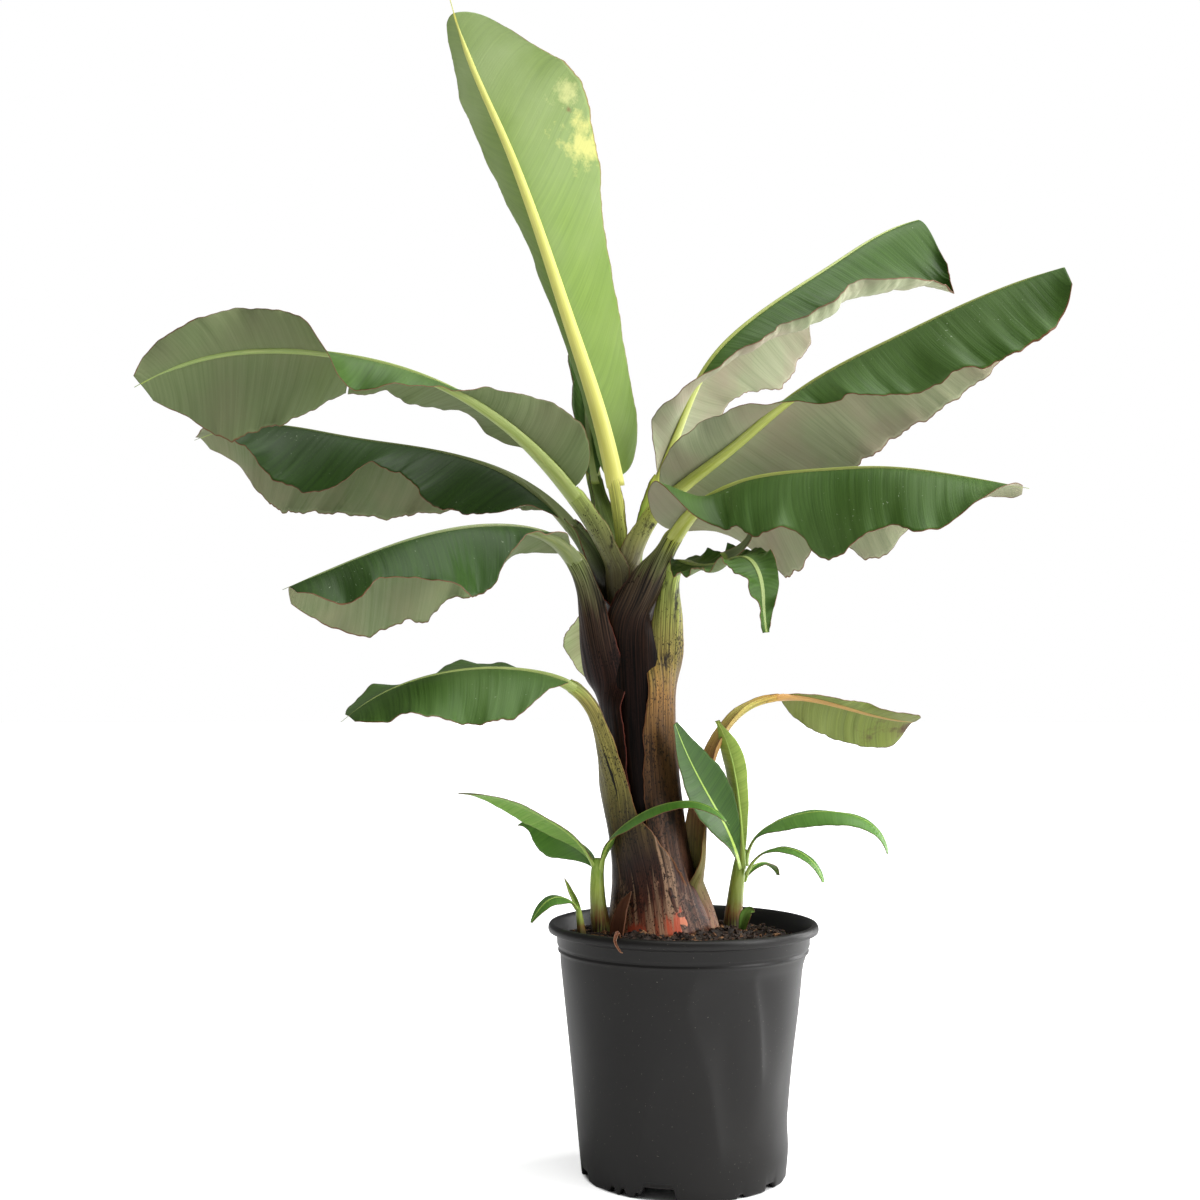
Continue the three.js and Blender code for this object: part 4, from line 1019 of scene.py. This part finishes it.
aged_top = blade_material(
    "ageing_banana_leaf_upper_side", "#40561f", "#62772e", "#b09a50", "#4d2d1c", 0.45,
    "#5c5a28", 0.6)
shoot_top = blade_material(
    "shoot_banana_leaf_upper_side", "#3a6a1c", "#5c8c30", "#9cc04c", SHOOT_EDGE, 0.42,
    "#4a7a26", 0.6, "#84a868", rib_half=SHOOT_RIB)
shoot_under = blade_material(
    "shoot_banana_leaf_under_side", "#5f9234", "#8cb056", "#b2c765", SHOOT_EDGE, 0.5,
    "#7f9f4e", rib_half=SHOOT_RIB)
shaded_top = blade_material(
    "shaded_shoot_banana_leaf_upper_side", "#22400c", "#3c6218", "#84a048", "#4b3a1c", 0.42,
    "#2e5012", 0.6, rib_half=SHOOT_RIB)
sprout_skin = blade_material(
    "unrolling_shoot_banana_leaf", "#769236", "#a0b652", "#c4d06c", SHOOT_EDGE, 0.45,
    "#86a044", rib_half=0.0010)
margin = rib_material("banana_leaf_dried_margin", "#7a4a30", "#6a4a30", "#9a6a48", 0.6)
dry_skin = blade_material(
    "dried_banana_sheath_scrap", "#4a2a1a", "#7a4c30", "#8a5a3c", "#4a2a1c", 0.6,
    "#5c3422", 0.6, rib_half=0.0003, specular=0.2)
# deep gives the leaves on the left an upper side darkened as painted shade.
SKINS = dict(
    grown=(grown_top, grown_under, margin), ruddy=(grown_top, pink_under, margin),
    deep=(shade_darkened_top, deep_under, margin), young=(young_top, young_under, margin),
    pale=(grown_top, pale_under, margin), aged=(aged_top, aged_under, margin),
    shoot=(shoot_top, shoot_under, margin), shaded=(shaded_top, shoot_under, margin),
    sprout=(sprout_skin, sprout_skin, margin), dry=(dry_skin, dry_skin, margin))
# Midribs: the end of the finish's name, and the colours of its base, tip and streaks
RIBS = dict(
    ruddy=("yellow_green", "#b4bc50", "#93a458", "#ced284"),
    grown=("waxy_green", "#93a352", "#7d9450", "#b9bd74"),
    deep=("deep_green", "#74804a", "#647840", "#9a9c60"),
    young=("young_yellow", "#e2df72", "#cfd272", "#f0ec9a"),
    pale=("pale", "#b7bb82", "#a8b078", "#cfcf9e"),
    aged=("ageing_amber", "#b98a3e", "#a08848", "#8a5a2c"),
    shoot=("shoot_green", "#a9c455", "#8fb548", "#c7d680"))
ribs = {skin: rib_material("banana_midrib_" + name, *codes)
        for skin, (name, *codes) in RIBS.items()}
# Where a sheath has pale, its pale streaks are painted sheen, and the slit of lowest_left is a
# line of painted shade.
SHEATHS = dict(
    spear=dict(
        stops=[(0.0, "#7a8a45"), (0.5, "#a2b055"), (1.0, "#dfdd74")],
        speck="#3a2a1c", specks=0.0, edge="#5a3a28"),
    back=dict(
        stops=[(0.0, "#46522c"), (1.0, "#66783c")],
        speck="#2e2118", specks=0.0, edge="#4a2c20"),
    upper_left=dict(
        stops=[(0.0, "#3a2c20"), (0.4, "#5c5638"), (0.6, "#7c7e4c"), (0.85, "#889250"),
               (1.0, "#93a352")],
        speck="#1f1712", specks=0.03, edge="#5c2a20", blotch=0.9),
    middle_left=dict(
        stops=[(0.0, "#2b1d16"), (0.45, "#33281c"), (0.62, "#40402a"), (0.8, "#5c6840"),
               (1.0, "#74804a")],
        speck="#17100d", specks=0.03, edge="#7a2c24", blotch=0.9, streak=0.5),
    lower_left=dict(
        stops=[(0.0, "#1d100d"), (0.45, "#22130f"), (0.62, "#2a1915"), (0.78, "#3a2b20"),
               (0.9, "#5a5a3c"), (1.0, "#74804a")],
        speck="#0e0807", specks=0.02, edge="#6a3428", blotch=0.5, streak=0.8, pale="#5c4034",
        specular=0.09),
    lowest_left=dict(
        stops=[(0.0, "#8a4630"), (0.07, "#5c3022"), (0.14, "#43261c"), (0.26, "#33211a"),
               (0.38, "#4c3c22"), (0.52, "#6f6632"), (0.7, "#857c3c"), (0.9, "#8f8646"),
               (1.0, "#93a352")],
        speck="#17100c", specks=0.08, edge="#8a5a38", blotch=0.6, streak=0.55, pale="#a8866a",
        slit=(0.132, 0.198, 0.0005),
        patches=[((0.000, -0.036, 0.234), 0.017, "#c4553a"),
                 ((0.004, -0.036, 0.240), 0.009, "#e08a68"),
                 ((-0.048, -0.036, 0.226), 0.011, "#a8482f")]),
    behind_left=dict(
        stops=[(0.0, "#2a1c17"), (0.5, "#4a4028"), (1.0, "#8c9058")],
        speck="#1c1310", specks=0.02, edge="#5a3428"),
    upper_right=dict(
        stops=[(0.0, "#4f4a2c"), (0.4, "#6f8438"), (0.75, "#8ea846"), (1.0, "#b4bc50")],
        speck="#4a3018", specks=0.0, edge="#5c3a22", blotch=0.3),
    right=dict(
        stops=[(0.0, "#3a2a20"), (0.4, "#4f4432"), (0.6, "#74704a"), (0.8, "#949850"),
               (1.0, "#b4bc50")],
        speck="#1f1712", specks=0.03, edge="#6a2c22", blotch=0.9),
    middle_right=dict(
        stops=[(0.0, "#120806"), (0.6, "#140906"), (0.76, "#22140c"), (0.86, "#3c3226"),
               (0.94, "#6f7448"), (1.0, "#b4bc50")],
        speck="#0a0606", specks=0.02, edge="#4a2a22", roughness=0.36, streak=0.9,
        specular=0.07),
    crumpled=dict(
        stops=[(0.0, "#4a261c"), (0.16, "#3f261a"), (0.32, "#432c1c"), (0.5, "#5c4024"),
               (0.62, "#7c5a2c"), (0.74, "#7c6e36"), (0.88, "#7c823e"), (1.0, "#93a352")],
        speck="#140d0a", specks=0.12, edge="#8a5a3c", blotch=0.8, streak=0.6, pale="#84604c"),
    lower_right=dict(
        stops=[(0.0, "#8a5a48"), (0.08, "#6a4434"), (0.18, "#6c663a"), (0.3, "#7c6e3e"),
               (0.42, "#8a6440"), (0.6, "#b08454"), (0.85, "#a8a050"), (1.0, "#b98a3e")],
        speck="#17100c", specks=0.04, edge="#7a4a28", blotch=0.3, pale="#9c7a5c"))
# Old banana sheaths, polished dark by age: purple-brown with long grey-buff streaks
trunk_finish = fibre_material(
    "aged_banana_sheath_dark_polished", 0.4, 0.08, ((420, 420, 14), 3.0, 0.6), (26, 26, 9),
    0.2, [(0.10, "#5a2a1c"), (0.17, "#3a2018"), (0.3, "#1d110e"), (0.6, "#120a09"),
          (0.85, "#1d130f"), (1.0, "#3a3420")], (0.58, 0.76, 0.25, "#6a4a35"), (0.5, 0.001))
# Young banana stem: soft, bright and waxy, browned where it leaves the mix
stem_finish = fibre_material(
    "young_banana_stem_waxy", 0.38, 0.5, ((700, 700, 24), 2.0, 0.5), (90, 90, 90),
    0.3, [(0.24, "#40261a"), (0.42, "#8a5a2c"), (0.6, "#94a040"), (0.8, "#a6ba48"),
          (1.0, "#86a93c")], (0.4, 0.7, 0.4, "#c9d77b"), (0.25, 0.0005))

# ---- the plant -----------------------------------------------------------------------
BLADE_SLOTS = dict(spear="young_leaf", lower_right="aged_leaf")
SHOOT_HABIT = dict(stalk=0.03, base=5, tip=5, ruffle=0.6, pleated=0.5, skin="shoot")

for number, leaf in enumerate(LEAVES):
    name, skin, seed = leaf["name"], leaf["skin"], 100 * (number + 1)
    slot = BLADE_SLOTS.get(name, "leaf_blade")
    add_sheet(name + "_blade_tissue", blade_points(leaf, BLADE_GRID, seed), slot, SKINS[skin],
              BLADE_THICKNESS, name + "_blade")
    add_limb(name + "_midrib", midrib_points(leaf, RIB_GRID), slot, ribs[skin])
    add_limb(name + "_sheath", stalk_points(leaf, seed + 50), "leaf_stalk",
             sheath_material("banana_sheath_" + name, **SHEATHS[name]), name + "_stalk")
add_limb("false_trunk", trunk_points(), "trunk_sheath", trunk_finish, "trunk")
for number, shoot in enumerate(SHOOTS):
    name = shoot["name"]
    add_limb(name + "_stem_skin", stem_points(shoot, number), "shoot_stem", stem_finish,
             name + "_stem")
for number, leaf in enumerate(SHOOT_LEAVES):
    leaf = SHOOT_HABIT | leaf
    name = leaf["name"]
    add_sheet(name + "_blade_tissue", blade_points(leaf, SHOOT_GRID, 2000 + 40 * number),
              "shoot_leaf", SKINS[leaf["skin"]], BLADE_THICKNESS, name)
    add_limb(name + "_midrib", midrib_points(leaf, SHOOT_RIB_GRID), "shoot_leaf",
             ribs["shoot"])
for strip in STRIPS:
    add_sheet(strip["name"], strip_points(strip), strip["slot"], SKINS[strip["skin"]],
              STRIP_THICKNESS)
add_limb("pot_shell", pot_points(), "pot_plastic", pot_material(), "pot")
add_limb("potting_mix_bed", soil_points(), "potting_mix",
         crumb_material("peat_and_bark_potting_mix", "#150e0a", "#3d2a1c", 260.0), "soil")
for shade, dark, light, count, sizes, seed in (
        ("dark", "#1d130d", "#4a3121", 1300, [(2, 8), (1.5, 5), (1, 3)], 11),
        ("tan", "#6a4429", "#a87e55", 420, [(2, 9), (1.5, 4.5), (0.8, 2.2)], 12)):
    place(scatter("bark_crumbs_" + shade, count, sizes, seed),
          [crumb_material("composted_bark_" + shade, dark, light)], rounded=False)

# ---- studio --------------------------------------------------------------------------
AMBIENT = 0.2
FLOOR_RADIUS = 40
LENS, SENSOR = 46.05, 36                # of the camera, in mm
CAMERA_PLACE, CAMERA_PITCH = (-0.080, -1.5, 0.443), 93.95
bm = bmesh.new()
bmesh.ops.create_circle(bm, cap_ends=True, radius=FLOOR_RADIUS, segments=96)
mesh = bpy.data.meshes.new("floor")
bm.to_mesh(mesh)
bm.free()
mesh.materials.append(floor_material())
floor = bpy.data.objects.new("floor", mesh)
bpy.context.scene.collection.objects.link(floor)

world = bpy.data.worlds.new("studio")
bpy.context.scene.world = world
world.use_nodes = True
backdrop = world.node_tree.nodes["Background"]
seen = add_node(world.node_tree, "LightPath", out="Is Camera Ray")
strength = add_node(world.node_tree, "MapRange", [seen, 0, 1, AMBIENT, 1])
backdrop.inputs["Color"].default_value = (1, 1, 1, 1)
world.node_tree.links.new(strength, backdrop.inputs["Strength"])


def lamp(name, kind, place_at, aim, energy, **settings):
    """A soft light at place_at that faces aim, in metres."""
    light = bpy.data.lights.new(name, kind)
    light.energy = energy
    for key, value in settings.items():
        setattr(light, key, value)
    holder = bpy.data.objects.new(name, light)
    holder.location = place_at
    holder.rotation_euler = (Vector(aim) - Vector(place_at)).to_track_quat("-Z", "Y").to_euler()
    bpy.context.scene.collection.objects.link(holder)


lamp("overhead", "SUN", (0.8, -0.4, 3), (0, 0, 0), 2.9, angle=radians(50))
lamp("right_softbox", "AREA", (1.9, -0.9, 1.3), (0, 0, 0.5), 50, shape="RECTANGLE", size=1.0,
     size_y=1.6)
lamp("right_edge_strip", "AREA", (1.5, 0.9, 0.7), (0, 0, 0.4), 18, shape="RECTANGLE", size=0.4,
     size_y=1.4)

camera = bpy.data.cameras.new("camera")
camera.lens, camera.sensor_width = LENS, SENSOR
viewer = bpy.data.objects.new("camera", camera)
viewer.location = CAMERA_PLACE
viewer.rotation_euler = (radians(CAMERA_PITCH), 0, 0)
bpy.context.scene.collection.objects.link(viewer)
bpy.context.scene.camera = viewer
bpy.context.scene.view_settings.view_transform = "Standard"
